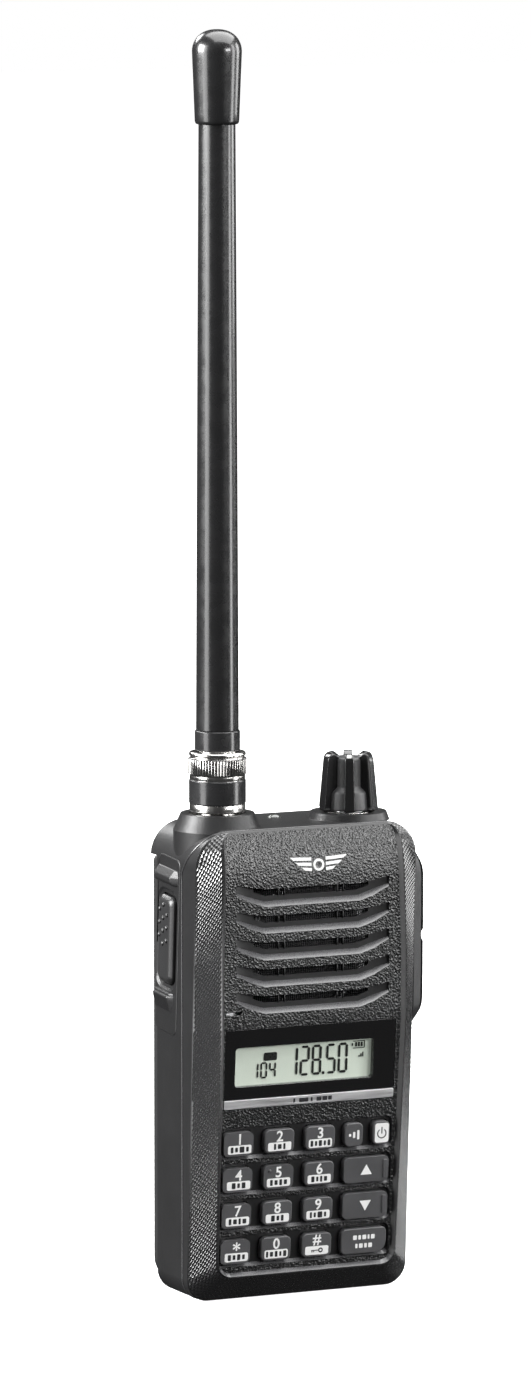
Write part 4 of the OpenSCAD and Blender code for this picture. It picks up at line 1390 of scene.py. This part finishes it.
def build_jack_cover():
    rings = []
    for z, share in COVER_LEVELS:
        dent = NOTCH_DEPTH if NOTCH_Z[0] < z < NOTCH_Z[1] else 0.0
        tuck = (1 - share) * 1.6
        ring = []
        for x, y in COVER_SECTION:
            reach = x * share - (dent if x > 3.3 and -6.8 < y < 6.5 else 0.0)
            ring.append((COVER_X0 + reach, y + (tuck if y < -5 else -tuck), z))
        rings.append(ring)
    bm = loft(rings)
    bead = circle(HINGE_X, HINGE_Y, HINGE_R, 20)
    loft([[(x, y, z) for x, y in bead] for z in HINGE_Z], bm)
    cover = solid("rubber_cover", bm)
    place(cover, "socket_cover", "cover_rubber", COVER, replaces=["jack_cover"])
    round_edges(cover, 0.12, 2, 24)


build_jack_cover()


# ---- the back of the battery ----

BACK_Y = HALF_D


def build_back():
    """A raised border, a blank label and grip ribs on the battery's back."""
    outline = rounded(-23.5, 33.0, 23.5, 91.0, 3.2, 8)
    border = solid("battery_border", prism(outline, BACK_Y - 0.1, BACK_Y + 0.4))
    inside = prism(rounded(-22.2, 34.3, 22.2, 89.7, 2.2, 8), BACK_Y - 1, BACK_Y + 1)
    cut(border, solid("inside", inside))
    merge_flat(border)
    place(border, "battery_pack", "pack_plastic", PACK)
    round_edges(border, 0.15, 2, 30)
    outline = rounded(-19.5, 52.0, 19.5, 86.5, 1.5, 6)
    label = solid("battery_label", prism(outline, BACK_Y - 0.1, BACK_Y + 0.1))
    place(label, "battery_pack", "pack_plastic", LABEL)
    round_edges(label, 0.03, 1, 30)
    ribs = bmesh.new()
    for i in range(6):
        z = 11.0 + i * 3.3
        half = 18.5 - 0.9 * i
        prism(rounded(-half, z, half, z + 1.7, 0.84, 6), BACK_Y - 0.1, BACK_Y + 0.6, ribs)
    grip = solid("battery_grip", ribs)
    place(grip, "battery_pack", "pack_plastic", PACK)
    round_edges(grip, 0.25, 3, 30)


build_back()


# ---- volume knob ----

KNOB_LOW, KNOB_HIGH = box_mm("volume_knob")
KNOB_X = (KNOB_LOW.x + KNOB_HIGH.x) / 2
KNOB_Y = (KNOB_LOW.y + KNOB_HIGH.y) / 2
KNOB_BASE = 116.5
KNOB_RIBS = 6
KNOB_TURN = -24
# A rib's outline as (distance from the axis, height)
RIB_OUTLINE = [
    (3.1, 116.5), (7.35, 116.5), (7.5, 116.7), (7.44, 117.4), (6.42, 128.3), (6.3, 129.0), (6.0, 129.6),
    (5.55, 130.0), (5.0, 130.2), (4.4, 130.1), (3.9, 129.8), (3.1, 129.3),
]


def build_knob():
    core = lathe([
        (0, 127.0), (3.0, 127.0), (3.0, KNOB_BASE), (5.75, KNOB_BASE), (5.95, 116.7),
        (5.6, 120.6), (5.3, 121.1),
        (4.3, 121.9), (4.1, 122.3), (3.95, 128.5), (3.8, 128.9), (3.4, 129.15), (2.6, 129.25), (0, 129.35),
    ], KNOB_X, KNOB_Y, 72)
    core_mesh = solid("knob_core", core)
    place(core_mesh, "knob", "knob_plastic", KNOB_CORE, replaces=["volume_knob"])
    round_edges(core_mesh, 0.08, 2, 30)
    bm = bmesh.new()
    for i in range(KNOB_RIBS):
        turn = Matrix.Translation((KNOB_X, KNOB_Y, 0)) @ Matrix.Rotation(
            math.radians(-90 + KNOB_TURN + i * 360 / KNOB_RIBS), 4, "Z")
        rings = []
        for side in (-1, 1):
            ring = []
            for r, z in RIB_OUTLINE:
                half = 1.32 - 0.26 * (z - KNOB_BASE) / 13.7
                ring.append(turn @ Vector((r, side * half, z)))
            rings.append(ring)
        loft(rings, bm)
    ribs = solid("knob_ribs", bm)
    place(ribs, "knob", "knob_plastic", KNOB_RIB)
    round_edges(ribs, 0.34, 3, 50)
    pointer = bmesh.new()
    turn = Matrix.Translation((KNOB_X, KNOB_Y, 0)) @ Matrix.Rotation(math.radians(-90 + KNOB_TURN), 4, "Z")
    top = [(6.06, 129.52), (5.55, 130.0), (5.2, 130.13)]
    outline = [(r + 0.03, z + 0.05) for r, z in top] + [(r - 0.1, z - 0.2) for r, z in top[::-1]]
    loft([[turn @ Vector((r, side * 0.45, z)) for r, z in outline] for side in (-1, 1)], pointer)
    mark = solid("knob_pointer", pointer)
    place(mark, "knob", "white_key", WHITE_INK)


build_knob()


# ---- CAD parts that stay in view ----

KEPT = {
    "trim_strip": (SILVER, 0.08),
    "lcd_panel": (LCD, 0.05),
    "lcd_backlight": (LIGHT_GUIDE, 0.1),
    "speaker_frame": (STEEL, 0.2),
    "speaker_cone": (CONE, 0.0),
    "microphone": (STEEL, 0.1),
    "key_mat": (KEY, 0.2),
    "keypad_board": (BOARD, 0.05),
    "body_gasket": (RUBBER, 0.05),
    "chassis": (CASE, 0.25),
    "main_board": (BOARD, 0.05),
    "shield_can": (STEEL, 0.2),
    "ptt_switch": (CASE, 0.1),
    "jack_block": (SMOOTH, 0.1),
    "encoder_shaft": (STEEL, 0.15),
    "encoder_body": (STEEL, 0.2),
    "encoder_nut": (NICKEL, 0.12),
    "antenna_jack": (NICKEL, 0.12),
    "antenna_jack_nut": (NICKEL, 0.12),
    "jack_insulator": (INSULATOR, 0.1),
    "jack_contact": (GOLD, 0.05),
    "plug_shell": (NICKEL, 0.1),
    "contact_pin": (GOLD, 0.05),
    "antenna_wire": (COPPER, 0.0),
    "status_led": (LAMP_LENS, 0.1),
    "battery_case": (PACK, 0.4),
    "battery_lid": (PACK, 0.2),
    "battery_cells": (CELL_WRAP, 0.3),
    "battery_contacts": (GOLD, 0.05),
    "battery_latch": (BUTTON, 0.2),
    "case_screws": (STEEL, 0.08),
}

for kept_node, (kept_material, rounding) in KEPT.items():
    NODES[kept_node].data.materials.clear()
    NODES[kept_node].data.materials.append(kept_material)
    if rounding:
        round_cad(kept_node, rounding)
for key_node in KEY_NODES:
    NODES[key_node].data.materials.clear()
    NODES[key_node].data.materials.append(KEY)
    round_cad(key_node, 0.32, 3, 40)


# ---- floor, light and background ----

def make_floor():
    bm = bmesh.new()
    size = 6000
    bmesh.ops.create_grid(bm, x_segments=1, y_segments=1, size=size)
    floor = solid("floor", bm)
    floor.data.transform(Matrix.Scale(MM, 4))
    floor.location.z = -0.0002
    material, _, shader = nodes_of("pale_floor")
    shader.inputs["Base Color"].default_value = (0.85, 0.85, 0.85, 1)
    shader.inputs["Roughness"].default_value = 0.9
    shader.inputs["Specular IOR Level"].default_value = 0.0
    shader.inputs["Emission Color"].default_value = (1, 1, 1, 1)
    shader.inputs["Emission Strength"].default_value = 1.05
    floor.data.materials.append(material)
    floor.visible_glossy = False
    floor.visible_diffuse = False


def soft_light(name, azimuth, elevation, distance, width, height, power):
    """A soft box aimed at the body; azimuth is measured from the camera's side, to its right."""
    data = bpy.data.lights.new(name, "AREA")
    data.shape = "RECTANGLE"
    data.size = width
    data.size_y = height
    data.energy = power
    light = bpy.data.objects.new(name, data)
    bpy.context.scene.collection.objects.link(light)
    turn = math.radians(azimuth) - VIEW_LEFT
    up = math.radians(elevation)
    toward = Vector((math.sin(turn) * math.cos(up), -math.cos(turn) * math.cos(up), math.sin(up)))
    aim = Vector((0, 0, 0.12))
    light.location = aim + toward * distance
    light.rotation_euler = (-toward).to_track_quat("-Z", "Y").to_euler()


def make_world():
    world = bpy.data.worlds.new("studio")
    bpy.context.scene.world = world
    world.use_nodes = True
    tree = world.node_tree
    background = tree.nodes["Background"]
    background.inputs["Color"].default_value = (1, 1, 1, 1)
    path = tree.nodes.new("ShaderNodeLightPath")
    strength = tree.nodes.new("ShaderNodeMapRange")
    strength.inputs["To Min"].default_value = 0.05
    strength.inputs["To Max"].default_value = 1.0
    tree.links.new(path.outputs["Is Camera Ray"], strength.inputs["Value"])
    tree.links.new(strength.outputs["Result"], background.inputs["Strength"])


make_floor()
soft_light("left_box", -60, 8, 1.6, 0.7, 1.5, 19)
soft_light("far_left_box", -80, 19, 1.5, 0.8, 0.7, 60)
soft_light("left_back_box", -142, 32, 1.6, 0.6, 0.5, 11)
soft_light("right_box", 84, 8, 1.6, 0.4, 1.5, 16)
soft_light("right_back_box", 114, 14, 1.6, 0.5, 0.8, 10)
soft_light("face_box", 53, 15, 1.5, 0.6, 0.26, 11)
soft_light("top_box", 110, 76, 1.1, 1.5, 1.5, 42)
make_world()
bpy.context.scene.view_settings.view_transform = "Standard"
